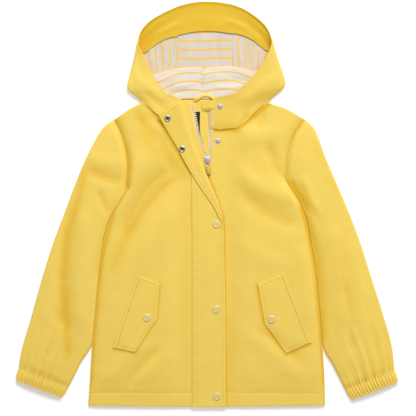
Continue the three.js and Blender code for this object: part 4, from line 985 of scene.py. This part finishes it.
LOOP_LINE = [(-24, 179), (-18, 183.6), (-10.6, 188.1), (-2, 190.2), (5.3, 188.5), (11, 184.3), (15, 180)]
LOOP_WIDTHS = [9.5, 8.8, 7.2, 6.4, 6.0, 5.4, 5.0]
LOOP_HEIGHT, LOOP_FOOT = 6.6, 2.4  # at its left end it comes down by the second
LOOP_STEPS = 44
loop_line = smooth_line(LOOP_LINE, LOOP_STEPS)
loop_side = np.gradient(loop_line, axis=0)[:, ::-1] * (1, -1)
loop_side = loop_side / np.linalg.norm(loop_side, axis=1, keepdims=True)
loop_share = np.linspace(-0.5, 0.5, 9)
loop_places = np.linspace(0, len(LOOP_WIDTHS) - 1, LOOP_STEPS + 1)
loop_widths = np.interp(loop_places, range(len(LOOP_WIDTHS)), LOOP_WIDTHS)
loop_flat = loop_line[:, None] + loop_side[:, None] * loop_share[None, :, None] * loop_widths[:, None, None]
loop_foot = LOOP_FOOT * step_up(9, 0, np.arange(LOOP_STEPS + 1))[:, None]
loop_round = LOOP_HEIGHT - 2.0 * np.abs(loop_share * 2) ** 3 - loop_foot
loop = cloth("hanger_loop_strip", lifted(loop_flat, loop_round), coated, 1.2)
sewn(loop, ["hanger_loop"])

# Storm flap. One long doubled strip of coated cloth sewn to the left front. It closes over the zip down
# to the hem, and its top is turned back over the left front like a lapel.
TURNED_FLAP = {
    "seam": [(-52.5, 175.5), (-44.5, 144), (-37, 107.5), (-30.5, 77.5), (-27, 46), (-27, 18), (-27, -6.5),
             (-27, -26.5)],
    "roll": [(-46, 180), (-34, 145), (-21.5, 107.5), (-10, 76.5), (1, 48.5), (11.5, 23.5), (21.5, -1),
             (28.5, -25)],
    "free": [(-85, 156.5), (-68.5, 127), (-50.5, 96.5), (-36, 69.5), (-20, 42.5), (-5.5, 20.5), (10.5, -2.5),
             (22, -25)],
    "lift": [9.8, 6.6, 4.7, 4.5, 4.4, 4.4, 4.4, 4.4],
    "rise": [3.3, 3.2, 3.2, 3.2, 3.2, 3.1, 3.0, 2.9],
}
CLOSED_FLAP_SEAM = [(-27, -44), (-27, -167.5), (-27, -355)]
CLOSED_FLAP_FREE = [(29, -43), (30.5, -97.5), (32.5, -220), (33, -355)]
FLAP_LEVEL = 4.6  # underside of the closed flap
FLAP_STITCHED = (-25.3, -17.9)  # places across of the two lines sewn down it
FLAP_FOLDS = [
    (0, -60, 4, -150, 9, 0.5, 0), (10, -200, -6, -300, 8, 0.5, 2), (-12, -110, -14, -240, 7, -0.4, 0),
]
FLAP_COLUMNS, FLAP_BETWEEN, FLAP_TURN_ROWS, FLAP_CLOSED_ROWS = 64, 9, 9, 110


def between(first, last, share):
    """A share of the way from the first to the last."""
    return first + (last - first) * share


def flap_section(seam, roll, free, lift, rise):
    """Across the turned flap: out to the rolled edge, round it and back over to the free edge."""
    line = [(*between(seam, roll, share), lift) for share in (0, 0.5, 0.9)]
    line.append((*roll, lift + rise / 2))
    line += [(*between(roll, free, share), lift + rise) for share in (0.12, 0.5, 0.85, 1)]
    return smooth_line(line, FLAP_COLUMNS)


def near_stitching(x, width):
    """1 on the two sewn lines of the flap, down to 0 beside them."""
    return sum(np.exp(-(((x - line) / width) ** 2)) for line in FLAP_STITCHED)


turned_rows = table_rows(TURNED_FLAP, FLAP_BETWEEN)
flap_rows = [flap_section(*row) for row in zip(*turned_rows.values())]
closed_flat = spanned([CLOSED_FLAP_SEAM, CLOSED_FLAP_FREE], FLAP_CLOSED_ROWS, FLAP_COLUMNS)
flap_x, flap_y = closed_flat[..., 0], closed_flat[..., 1]
puckers = 0.16 * np.sin(flap_y / 2.6) * near_stitching(flap_x, 2)
sewn_lines = -0.45 * near_stitching(flap_x, 1.1)
seam_drop = -0.75 * step_up(-21, -27, flap_x)
flap_level = FLAP_LEVEL + fold_height(FLAP_FOLDS, flap_x, flap_y) + puckers + sewn_lines + seam_drop
closed_rows = lifted(closed_flat, flap_level)
turned_end = flap_rows[-1]
for k in range(1, FLAP_TURN_ROWS):
    flap_rows.append(between(turned_end, closed_rows[0], step_up(0, FLAP_TURN_ROWS, k)))
flap_grid = np.array([*flap_rows, *closed_rows])
flap = cloth("storm_flap_cloth", flap_grid, coated, 1.4, up=(0.1, 0, -1), edge=0.5)
sewn(flap, ["storm_flap", "storm_flap_turned"])

# Pocket flaps and welts. Each slanting pocket has a narrow welt at its mouth and a shaped flap of doubled
# cloth, sewn along the outer edge, topstitched round the rest and snapped down.
POCKET_FLAPS = {
    "pocket_flap_left": {"sewn": [(-116.5, -125), (-137.5, -188.5), (-158.5, -252)],
                         "free": [(-83, -139), (-88.5, -202), (-126.5, -259)]},
    "pocket_flap_right": {"free": [(89, -140.5), (101, -209.5), (139, -261)],
                          "sewn": [(129, -122), (152.5, -183), (176, -243.5)]},
}
POCKET_WELTS = {
    "pocket_welt_left": {"outer": [(-122.5, -125), (-144, -188.5), (-165, -251.5)],
                         "inner": [(-117, -125.5), (-138, -189), (-159, -252)]},
    "pocket_welt_right": {"outer": [(129.5, -122.5), (153, -183), (176.5, -244)],
                          "inner": [(135, -121.5), (159, -183), (182.5, -242.5)]},
}
POCKET_GAP = 0.35
POCKET_STEPS, POCKET_FLAP_ACROSS, POCKET_WELT_ACROSS = 24, 22, 6
POCKET_FLAP_SIZE = (34, 130)
TOPSTITCH_IN = 5.2  # from the edge of a pocket flap


def cornered(points, steps):
    """Line with sharp corners at its points, each stretch in equal steps."""
    points = np.array(points, float)
    shares = np.arange(steps)[:, None] / steps
    stretches = [between(start, end, shares) for start, end in zip(points, points[1:])]
    return np.vstack([*stretches, points[-1]])


def pocket_cloth(node, edges, across, lift, wall, edge):
    """A piece over a pocket, which follows the front under it."""
    first, last = (cornered(line, POCKET_STEPS) for line in edges.values())
    flat = ruled(first, last, across)
    top = front_height(flat[..., 0], flat[..., 1])
    return cloth(node + "_cloth", lifted(flat, top + POCKET_GAP + lift), coated, wall, edge=edge)


flap_u = np.linspace(0, 1, POCKET_FLAP_ACROSS + 1)[None, :] * POCKET_FLAP_SIZE[0]
flap_v = np.linspace(0, 1, 2 * POCKET_STEPS + 1)[:, None] * POCKET_FLAP_SIZE[1]
inside = np.minimum(
    np.minimum(flap_u, POCKET_FLAP_SIZE[0] - flap_u), np.minimum(flap_v, POCKET_FLAP_SIZE[1] - flap_v),
)
pillow = 0.5 * step_up(0, 7, inside) - 0.35 * np.exp(-((inside - TOPSTITCH_IN) ** 2))
pocket_flaps = []
for node, edges in POCKET_FLAPS.items():
    piece = pocket_cloth(node, edges, POCKET_FLAP_ACROSS, 1.0 + pillow, 1.0, 0.4)
    pocket_flaps.append(piece)
    sewn(piece, [node])
for node, edges in POCKET_WELTS.items():
    sewn(pocket_cloth(node, edges, POCKET_WELT_ACROSS, 0.9, 0.8, 0.3), [node])

# Cuffs. Each is a casing of coated cloth round elastic, stitched top and bottom, which pulls it into small
# uneven gathers that swell between the stitches and scallop the lower edge.
CUFFS = {
    "cuff_left": {"outer": [(-330, -287), (-333.5, -298), (-334.5, -308)],
                  "inner": [(-243, -321), (-248, -330), (-254, -338)],
                  "swell": [0.55, 1, 0.45], "scallop": [0, -0.2, -1.3]},
    "cuff_right": {"outer": [(328.5, -291), (333, -301.5), (334.5, -310.5)],
                   "inner": [(242, -325), (247.5, -335), (253, -342)],
                   "swell": [0.55, 1, 0.45], "scallop": [0, 0.2, 1.3]},
}
CUFF_HEIGHT = 7.4
CUFF_BULGE = 1.1  # of the casing between its stitches
GATHER_DEPTH = 1.0
CUFF_BETWEEN, CUFF_ACROSS = 12, 136


def cuff_height(points, u, swell):
    arch = np.sin(np.pi * np.clip(u, 0, 1)) ** 0.5
    full = (CUFF_HEIGHT + CUFF_BULGE * swell) * (EDGE_SHARE + (1 - EDGE_SHARE) * arch)
    return full + GATHER_DEPTH * gathered(u) * arch * swell


for node, table in CUFFS.items():
    rows = table_rows(table, CUFF_BETWEEN)
    rings = []
    for outer, inner, swell, scallop in zip(*rows.values()):
        height = partial(cuff_height, swell=swell)
        rings.append(ring(outer, inner, scallop, height, CUFF_ACROSS, SLEEVE_TURN, gathered))
    piece = cloth(node + "_casing", np.array(rings), coated, 1.2, closed=True, edge=0.3)
    sewn(piece, [node])

# Zip. Two woven tapes with coil teeth, open from the slider up to the neck. The left one lies along the
# front's edge beside the flap, and the right one is folded back with a strip of coated cloth behind it.
TAPE_LEVEL = FRONT_LEVEL  # top of the tapes
# Edges of each strip, from left to right
LEFT_EDGE = [
    [(-44, 182.5), (-38, 160), (-27, 120), (-14, 85), (-3.5, 60), (-3.5, 20), (-3.5, -339)],
    [(-30, 182.5), (-26.5, 150), (-21, 130), (-14.5, 112), (-2.7, 80), (-2.7, 20), (-2.7, -339)],
]
LEFT_TAPE = [
    [(-32, 176.6), (-27.8, 150), (-22.5, 130), (-16, 112), (-3.2, 81), (-2.7, 20), (-2.7, -339)],
    [(-26.6, 176.8), (-22, 161), (-17.8, 140), (-15, 125), (-1, 84), (-0.4, 20), (-0.4, -339)],
]
RIGHT_EDGE = [
    [(-11.8, 182), (-11.8, 124), (-8, 112), (-3, 94), (1.2, 83), (1.2, 20), (1.2, -339)],
    [(3.6, 182), (3.6, 150), (3.6, 120), (3.4, 98), (3.2, 83), (1.6, 20), (1.6, -339)],
]
RIGHT_TAPE = [
    [(4.6, 164), (4.6, 140), (4.4, 120), (4.0, 98), (3.2, 84)],
    [(12.2, 165), (11.6, 140), (11.0, 120), (10.2, 98), (8.6, 84)],
]
OPEN_POINTS = 5  # of the left tape's edge that lie above the slider
TAPE_YELLOW = (0.86, 0.64, 0.20, 1)
TAPE_PALE = (0.88, 0.70, 0.34, 1)
FOLDED_YELLOW = (0.84, 0.61, 0.24, 1)
FOLDED_PALE = (0.86, 0.66, 0.36, 1)
TEETH_YELLOW = (0.90, 0.76, 0.44, 1)
TEETH_PALE = (0.93, 0.84, 0.60, 1)
TEETH_PITCH, RIGHT_TEETH = 3.4, 26
TOOTH, TOOTH_ROUND = (1.9, 3.2, 1.5), 0.45


def woven_finish(name, base, pale, pitch=0.0011):
    """Narrow woven tape: ribs of thread across it, a little fluffed."""
    finish = Finish(name, Roughness=0.82, Specular_IOR_Level=0.2, Sheen_Weight=0.2)
    across, along = finish.uv()
    ribs = (along * (2 * math.pi / pitch)).wave() * 0.5 + (across * (2 * math.pi / (pitch * 0.7))).wave() * 0.25
    finish.set(Base_Color=finish.blend(ribs * 0.25 + finish.noise(240.0) * 0.5 + 0.4, base, pale))
    finish.relief(ribs + finish.noise(900.0) * 0.8, 0.16 * MM)
    return finish


tape_finish = woven_finish("zip_tape_weave", TAPE_YELLOW, TAPE_PALE)
pale_tape_finish = woven_finish("zip_tape_folded", FOLDED_YELLOW, FOLDED_PALE)
STRIPS = [
    ("left_zip_edge", "zip_tape_left", LEFT_EDGE, -0.1, coated),
    ("left_zip_tape", "zip_tape_left", LEFT_TAPE, 0.15, tape_finish),
    ("right_zip_edge", "zip_tape_right", RIGHT_EDGE, -0.1, coated),
]
for name, node, edges, rise, finish in STRIPS:
    strip = cloth(name, lifted(spanned(edges, 150, 6), TAPE_LEVEL + rise), finish, 0.7, edge=0.2)
    sewn(strip, [node])


class Ground:
    """The visible top of some pieces, found by looking straight down on them."""

    def __init__(self, *pieces):
        corners, faces = [], []
        for piece in pieces:
            start = len(corners)
            corners += [tuple(vertex.co) for vertex in piece.data.vertices]
            faces += [[start + corner for corner in face.vertices] for face in piece.data.polygons]
        self.tree = BVHTree.FromPolygons(corners, faces)

    def at(self, x, y):
        """The point in metres and the way out of the cloth there."""
        point, out = self.tree.ray_cast(Vector((x * MM, y * MM, 1)), Vector((0, 0, -1)))[:2]
        return np.array(point or (x * MM, y * MM, 0)), np.array(out or (0, 0, 1))

    def under(self, x, y, radius):
        """Where a disc rests: the highest point under it, and the mean way out."""
        turns = [k * math.pi / 4 for k in range(8)]
        touched = [self.at(x + radius * math.cos(turn), y + radius * math.sin(turn)) for turn in turns]
        middle, out = self.at(x, y)
        out = out + sum(way for _, way in touched)
        out = out / np.linalg.norm(out)
        rise = max(0, *[(point - middle) @ out for point, _ in touched])
        return middle + out * rise, out

    def draped(self, flat, lift, rounds):
        """Flat points laid on the cloth, with hard steps softened."""
        level = np.array([[self.at(*point)[0][2] / MM for point in row] for row in flat])
        return lifted(flat, softened(level, rounds) + lift)


right_tape_grid = Ground(right_front, right_hood, strip).draped(spanned(RIGHT_TAPE, 90, 8), 0.9, 12)
right_tape = cloth("right_zip_tape", right_tape_grid, pale_tape_finish, 0.6, edge=0.2)
sewn(right_tape, ["zip_tape_right"])


def turning(right, up):
    """Turn that takes a template's X and Z to these directions, as a matrix of columns."""
    up = np.array(up, float) / np.linalg.norm(up)
    right = np.array(right, float)
    right = right - (right @ up) * up
    right = right / np.linalg.norm(right)
    return np.column_stack([right, np.cross(up, right), up])


def repeated(name, template, spots, finish, nodes=()):
    """One mesh of a template's copies, each at a place in metres with its own turn. The template goes."""
    mesh = template.data
    corners = np.zeros(len(mesh.vertices) * 3)
    mesh.vertices.foreach_get("co", corners)
    corners = corners.reshape(-1, 3)
    faces = [tuple(face.vertices) for face in mesh.polygons]
    points, all_faces = [], []
    for k, (place, turn) in enumerate(spots):
        points.append(corners @ turn.T + place)
        all_faces += [tuple(corner + k * len(corners) for corner in face) for face in faces]
    made = bpy.data.meshes.new(name)
    made.from_pydata(np.vstack(points).tolist(), [], all_faces)
    made.materials.append(finish.material)
    piece = bpy.data.objects.new(name, made)
    scene.collection.objects.link(piece)
    bpy.data.objects.remove(template)
    bpy.ops.object.select_all(action="DESELECT")
    piece.select_set(True)
    bpy.context.view_layer.objects.active = piece
    bpy.ops.object.shade_smooth_by_angle(angle=math.radians(50))
    sewn(piece, nodes)
    return piece


def along(line, pitch):
    """Places at even steps along a line, with the way it runs there."""
    length = np.linalg.norm(np.diff(line, axis=0), axis=1).sum()
    ends = spaced(line, max(1, round(length / pitch)))
    return zip((ends[:-1] + ends[1:]) / 2, np.diff(ends, axis=0))


def tooth():
    """Template of one turn of the coil: a short round bar across the tape."""
    bpy.ops.mesh.primitive_cube_add(size=1)
    bar = bpy.context.object
    bpy.ops.object.mode_set(mode="EDIT")
    bpy.ops.transform.resize(value=[side * MM for side in TOOTH], center_override=(0, 0, 0))
    bpy.ops.object.mode_set(mode="OBJECT")
    rounding = bar.modifiers.new("round", "BEVEL")
    rounding.width = TOOTH_ROUND * MM
    rounding.segments = 3
    bpy.ops.object.modifier_apply(modifier=rounding.name)
    return bar


teeth_finish = Finish("moulded_teeth", Roughness=0.38, Specular_IOR_Level=0.5)
teeth_finish.mottled(400.0, TEETH_YELLOW, TEETH_PALE)
teeth_spots = []
for place, way in along(smooth_line(LEFT_TAPE[1][:OPEN_POINTS], 200), TEETH_PITCH):
    spot = np.array([place[0] + 0.6, place[1], TAPE_LEVEL + 0.6])
    teeth_spots.append((spot * MM, turning((*way, 0), (0, 0, 1))))
for row in spaced(right_tape_grid[:, 0], RIGHT_TEETH):
    teeth_spots.append(((row + (-0.3, 0, 0.1)) * MM, turning((0, -1, 0), (0, 0, 1))))
repeated("zip_teeth", tooth(), teeth_spots, teeth_finish)

# Zip guard. A small doubled tab of coated cloth covers the top of the right tape and its fold.
GUARD_EDGES = [(-8.6, 181.5), (-9, 172), (-8.4, 163)], [(12.8, 181), (13, 172), (12.2, 163.6)]
guard_flat = spanned(GUARD_EDGES, 24, 30)
guard_x, guard_y = guard_flat[..., 0], guard_flat[..., 1]
guard_level = 5.9 + 2.9 * step_up(-8, 9, guard_x) - 1.4 * step_up(169, 163, guard_y)
guard = cloth("zip_guard_tab", lifted(guard_flat, guard_level), coated, 1.0, edge=0.4)
sewn(guard, ["zip_guard"])

# Slider, pull and grip. A nickel plate with a bridge, a stamped link that hangs from it and a moulded
# yellow grip. The link and grip turn together on the bridge.
SLIDER_AT = (0.5, 78.5)
SLIDER_LOW, PLATE = 4.2, 1.6
PIVOT_UP = 6.85
SLIDER_OUTLINE = [
    (-6, 1.5), (-5.6, -1.5), (-4.4, -4.6), (-3.4, -6), (3.4, -6), (4.4, -4.6), (5.6, -1.5), (6, 1.5),
    (5.7, 4.4), (4.6, 5.9), (3, 5.6), (1.3, 4.7), (-1.3, 4.7), (-3, 5.6), (-4.6, 5.9), (-5.7, 4.4),
]
BRIDGE = {"y": [-4.8, -4.6, -3.6, 0, 3.6, 4.6, 4.8], "up": [0, 1.6, 2.9, 3.3, 2.9, 1.6, 0]}
BRIDGE_WIDTH = 2.6
LINK = {"inner": 2.0, "bar": 1.3, "reach": 11.0}
LEAN, LEAN_FROM = 0.16, 5  # the pull lies a little to the right below the bridge
GRIP_OUTLINE = [
    (-2.6, 0), (-3.7, -1.2), (-4, -3.2), (-3.9, -12), (-3.2, -14.8), (-2, -16),
    (2, -16), (3.2, -14.8), (3.9, -12), (4, -3.2), (3.7, -1.2), (2.6, 0),
]
GRIP_THICK, GRIP_DOWN = 2.8, 1.7  # its underside lies the second below the pivot

NICKEL = [(0.78, 0.77, 0.77, 1), (0.88, 0.87, 0.88, 1)]
GRIP_YELLOW = [(0.66, 0.48, 0.085, 1), (0.60, 0.43, 0.07, 1)]


def nickel_finish(name, colours, roughness, **settings):
    """Nickel plating, a little cloudy, with fine scratches in its shine."""
    finish = Finish(name, **settings)
    finish.mottled(160.0, *colours)
    finish.set(Roughness=finish.noise(500.0, 4.0) * 0.14 + roughness)
    return finish


nickel = nickel_finish("nickel_plate", NICKEL, 0.34, Metallic=1.0, Specular_IOR_Level=0.5)
nickel.relief(nickel.noise(700.0, 3.0), 0.05 * MM)
grip_finish = Finish("moulded_grip", Specular_IOR_Level=0.45)
grip_finish.mottled(120.0, *GRIP_YELLOW)
grip_finish.set(Roughness=grip_finish.noise(300.0) * 0.2 + 0.42)
grip_finish.relief(grip_finish.noise(800.0, 3.0), 0.06 * MM)


def plate(name, outline, low, high, finish, rounding):
    """Flat piece with an outline in millimetres: a circle laid along it, drawn up and rounded."""
    bpy.ops.object.select_all(action="DESELECT")
    bpy.ops.mesh.primitive_circle_add(vertices=len(outline), radius=1, fill_type="NGON")
    piece = bpy.context.object
    piece.name = piece.data.name = name
    flat = np.column_stack([np.array(outline, float), np.full(len(outline), low)])
    piece.data.vertices.foreach_set("co", (flat * MM).ravel())
    bpy.ops.object.mode_set(mode="EDIT")
    bpy.ops.mesh.select_all(action="SELECT")
    bpy.ops.mesh.extrude_region_move(TRANSFORM_OT_translate={"value": (0, 0, (high - low) * MM)})
    bpy.ops.mesh.select_all(action="SELECT")
    bpy.ops.mesh.normals_make_consistent(inside=False)
    bpy.ops.object.mode_set(mode="OBJECT")
    if rounding:
        edge = piece.modifiers.new("edge", "BEVEL")
        edge.width = rounding * MM
        edge.segments = 3
        edge.angle_limit = math.radians(40)
        bpy.ops.object.modifier_apply(modifier=edge.name)
    bpy.ops.object.shade_smooth_by_angle(angle=math.radians(40))
    piece.data.materials.append(finish.material)
    return piece


def moved(outline, place):
    return [(x + place[0], y + place[1]) for x, y in outline]


def merged(name, *pieces):
    bpy.ops.object.select_all(action="DESELECT")
    for piece in pieces:
        piece.select_set(True)
    bpy.context.view_layer.objects.active = pieces[0]
    bpy.ops.object.join()
    pieces[0].name = pieces[0].data.name = name
    return pieces[0]


base = moved(SLIDER_OUTLINE, SLIDER_AT)
slider_plate = plate("slider_plate", base, SLIDER_LOW, SLIDER_LOW + PLATE, nickel, 0.55)
crown = moved([(x * 0.62, y * 0.74) for x, y in SLIDER_OUTLINE], SLIDER_AT)
slider_crown = plate("slider_crown", crown, SLIDER_LOW + 1.4, SLIDER_LOW + 2.1, nickel, 0.3)
bridge_line = smooth_line(np.column_stack([BRIDGE["y"], BRIDGE["up"]]), 40)
bridge_grid = np.array([
    [(BRIDGE_WIDTH * share, y, PLATE + up) for share in (-0.5, 0, 0.5)] for y, up in bridge_line
]) + (*SLIDER_AT, SLIDER_LOW)
slider_bridge = cloth("slider_bridge", bridge_grid, nickel, 0.7, edge=0.2)
slider = merged("slider_body", slider_plate, slider_crown, slider_bridge)
sewn(slider, ["zip_slider"])

bpy.ops.object.select_all(action="DESELECT")
bpy.ops.mesh.primitive_torus_add(
    major_radius=(LINK["inner"] + LINK["bar"] / 2) * MM, minor_radius=LINK["bar"] / 2 * MM,
    major_segments=40, minor_segments=12,
)
link = bpy.context.object
link.name = link.data.name = "pull_link"
spread = (LINK["reach"] - LINK["bar"] / 2) / 2 + LINK["bar"] / 2 - LINK["inner"] - LINK["bar"] / 2
for corner in link.data.vertices:
    corner.co.y += math.copysign(spread * MM, corner.co.y) + (LINK["bar"] / 2 - LINK["reach"]) / 2 * MM
    corner.co.x += LEAN * max(0, -corner.co.y - LEAN_FROM * MM)
    corner.co += Vector((*SLIDER_AT, PIVOT_UP)) * MM
bpy.ops.object.shade_smooth()
link.data.materials.append(nickel.material)
sewn(link, ["zip_pull"], body="pull")

GRIP_AT = (SLIDER_AT[0] + 0.9, SLIDER_AT[1] - LINK["reach"] + 0.6)
leaning = [(x - y * LEAN, y) for x, y in GRIP_OUTLINE]
grip_low = PIVOT_UP - GRIP_DOWN
grip_slab = plate("grip_slab", moved(leaning, GRIP_AT), grip_low, grip_low + GRIP_THICK, grip_finish, 0.8)
pad = [(x * 0.62 - (y * 0.72 - 2.6) * LEAN, y * 0.72 - 2.6) for x, y in GRIP_OUTLINE]
grip_pad = plate("grip_pad", moved(pad, GRIP_AT), PIVOT_UP + 0.9, PIVOT_UP + 1.5, grip_finish, 0.3)
grip = merged("pull_grip", grip_slab, grip_pad)
sewn(grip, ["zip_grip"], body="pull")

# Press studs. Lacquered caps on the closed flap and the pockets, bare sockets on the turned back flap and
# bare studs on the right front, each set square to the cloth under it.
SNAPS = [
    ("snap_cap_top", "cap", 16, -35), ("snap_cap_middle", "cap", 16, -184.5),
    ("snap_cap_bottom", "cap", 17, -336.5),
    ("snap_cap_pocket_left", "cap", -105.5, -198.5), ("snap_cap_pocket_right", "cap", 112.5, -201.5),
    ("snap_stud_neck", "stud", 22.5, 171), ("snap_stud_chest", "stud", 19, 111),
    ("snap_socket_neck", "socket", -69, 150), ("snap_socket_chest", "socket", -43.5, 96.5),
]
# Radius and height up the outside and in over the top, for each kind
SNAP_SHAPES = {
    "cap": [(6.2, 0), (6.6, 0.15), (6.75, 0.5), (6.55, 0.95), (6.0, 1.3), (5.0, 1.5), (4.3, 1.42), (3.9, 1.2),
            (3.5, 1.16), (2.6, 1.3), (1.4, 1.4), (0.2, 1.42)],
    "stud": [(4.4, 0), (4.7, 0.15), (4.75, 0.45), (4.5, 0.7), (3.6, 0.75), (2.75, 0.85), (2.45, 1.2), (2.5, 1.9),
             (2.35, 2.25), (1.9, 2.4), (1.4, 2.25), (1.15, 1.7), (0.2, 1.6)],
    "socket": [(5.3, 0), (5.65, 0.2), (5.75, 0.6), (5.5, 1.1), (4.8, 1.45), (3.9, 1.55), (3.2, 1.4), (2.75, 1.0),
               (2.6, 0.5), (2.45, 0.2), (0.2, 0.15)],
}
SNAP_SINK = 0.2

LACQUER = [(0.80, 0.61, 0.20, 1), (0.86, 0.70, 0.32, 1)]
SATIN_NICKEL = [(0.50, 0.46, 0.52, 1), (0.60, 0.56, 0.60, 1)]
WORN_NICKEL = [(0.50, 0.49, 0.48, 1), (0.64, 0.63, 0.62, 1)]
# Painted shade: the dark colour of the disc in each socket's hollow.
WELL_SHADE_BROWN = [(0.06, 0.045, 0.03, 1), (0.13, 0.10, 0.06, 1)]
WELL_PROFILE = [(2.5, 0.2), (2.5, 0.5), (0.2, 0.35)]
lacquer = Finish("pearl_lacquer", Metallic=0.25, Specular_IOR_Level=0.6, Coat_Roughness=0.12)
lacquer.mottled(220.0, *LACQUER)
lacquer.set(Roughness=lacquer.noise(400.0) * 0.12 + 0.30, Coat_Weight=0.6)
lacquer.relief(lacquer.noise(500.0, 3.0), 0.05 * MM)
stud_nickel = nickel_finish("nickel_satin", SATIN_NICKEL, 0.52, Metallic=0.55)
nickel_dark = nickel_finish("nickel_worn", WORN_NICKEL, 0.28, Metallic=1.0)


def turned(name, profile, sides=56):
    """A piece turned on a lathe: a circle drawn up and resized through its radii and heights."""
    bpy.ops.object.select_all(action="DESELECT")
    bpy.ops.mesh.primitive_circle_add(vertices=sides, radius=profile[0][0] * MM, fill_type="NGON")
    piece = bpy.context.object
    piece.name = name
    bpy.ops.object.mode_set(mode="EDIT")
    bpy.ops.mesh.select_all(action="SELECT")
    for (radius, height), (next_radius, next_height) in zip(profile, profile[1:]):
        step = (0, 0, (next_height - height) * MM)
        bpy.ops.mesh.extrude_region_move(TRANSFORM_OT_translate={"value": step})
        growth = next_radius / radius
        bpy.ops.transform.resize(value=(growth, growth, 1), center_override=(0, 0, 0))
    bpy.ops.mesh.select_all(action="SELECT")
    bpy.ops.mesh.normals_make_consistent(inside=False)
    bpy.ops.object.mode_set(mode="OBJECT")
    return piece


cloth_ground = Ground(left_front, right_front, right_hood, left_hood, flap, *pocket_flaps)
for node, kind, x, y in SNAPS:
    profile = SNAP_SHAPES[kind]
    place, out = cloth_ground.under(x, y, profile[0][0] * 0.8)
    spot = (place - out * SNAP_SINK * MM, turning((1, 0, 0), out))
    finish = {"cap": lacquer, "stud": stud_nickel, "socket": nickel_dark}[kind]
    repeated(node + "_turned", turned("snap", profile), [spot], finish, [node])

# A dark disc in each socket's hollow: painted shade.
well_shade_finish = Finish("socket_well", Metallic=0.7, Specular_IOR_Level=0.3)
well_shade_finish.mottled(300.0, *WELL_SHADE_BROWN)
well_shade_finish.set(Roughness=well_shade_finish.noise(500.0) * 0.1 + 0.5)
well_spots = []
for node, kind, x, y in SNAPS:
    if kind == "socket":
        place, out = cloth_ground.under(x, y, 4.2)
        well_spots.append((place, turning((1, 0, 0), out)))
repeated("socket_wells", turned("well", WELL_PROFILE, 32), well_spots, well_shade_finish)

# Sewing. Lines of single stitches in yellow thread, each lying in the cloth: down the storm flap and along
# its edges, round the pocket flaps and over the hem.
STITCH_PITCH = 3.1
STITCH_LONG, STITCH_WIDE, STITCH_HIGH = 2.3, 0.75, 0.5
THREAD_YELLOW = [(0.78, 0.50, 0.045, 1), (0.70, 0.42, 0.03, 1)]
POCKET_LINES = [
    [(-114.5, -131), (-89, -141.5), (-94, -200.5), (-127.5, -253), (-153.5, -246.5)],
    [(127.5, -128), (95.5, -142.5), (106.5, -207), (139.5, -254), (171, -240)],
]
thread = Finish("yellow_thread", Roughness=0.6, Sheen_Weight=0.3, Specular_IOR_Level=0.3)
thread.mottled(600.0, *THREAD_YELLOW)


def stitch():
    """Template of one stitch: a small ball of thread drawn out along X."""
    bpy.ops.mesh.primitive_uv_sphere_add(segments=8, ring_count=5, radius=0.5 * MM)
    ball = bpy.context.object
    bpy.ops.object.mode_set(mode="EDIT")
    bpy.ops.transform.resize(value=(STITCH_LONG, STITCH_WIDE, STITCH_HIGH), center_override=(0, 0, 0))
    bpy.ops.object.mode_set(mode="OBJECT")
    return ball


def sewing(name, lines, ground, pitch=STITCH_PITCH):
    spots = []
    for line in lines:
        for place, way in along(np.array(line, float), pitch):
            point, out = ground.at(*place)
            if point[2] > 0.5 * MM and out[2] > 0.5:
                spots.append((point + out * 0.05 * MM, turning((*way, 0), out)))
    repeated(name, stitch(), spots, thread)


def inset(line, distance):
    """The line moved aside to its left by a distance."""
    line = np.array(line, float)
    way = np.gradient(line, axis=0)
    way = way / np.linalg.norm(way, axis=1, keepdims=True)
    return line + np.column_stack([-way[:, 1], way[:, 0]]) * distance


flap_lines = [[(x, 30), (x, -352)] for x in FLAP_STITCHED]
flap_lines.append(inset(smooth_line(TURNED_FLAP["free"], 120), 4.4))
flap_lines.append(inset(smooth_line(CLOSED_FLAP_FREE, 200), -4.6))
flap_lines.append([(-80.5, 153.8), (-50.5, 174.5)])
sewing("flap_stitches", flap_lines, Ground(flap))
hem_lines = [[(-205, HEM_STITCH), (-28, HEM_STITCH)], [(34, HEM_STITCH), (204, HEM_STITCH)]]
sewing("hem_stitches", hem_lines, Ground(left_front, right_front))
sewing("pocket_stitches", POCKET_LINES, Ground(*pocket_flaps))
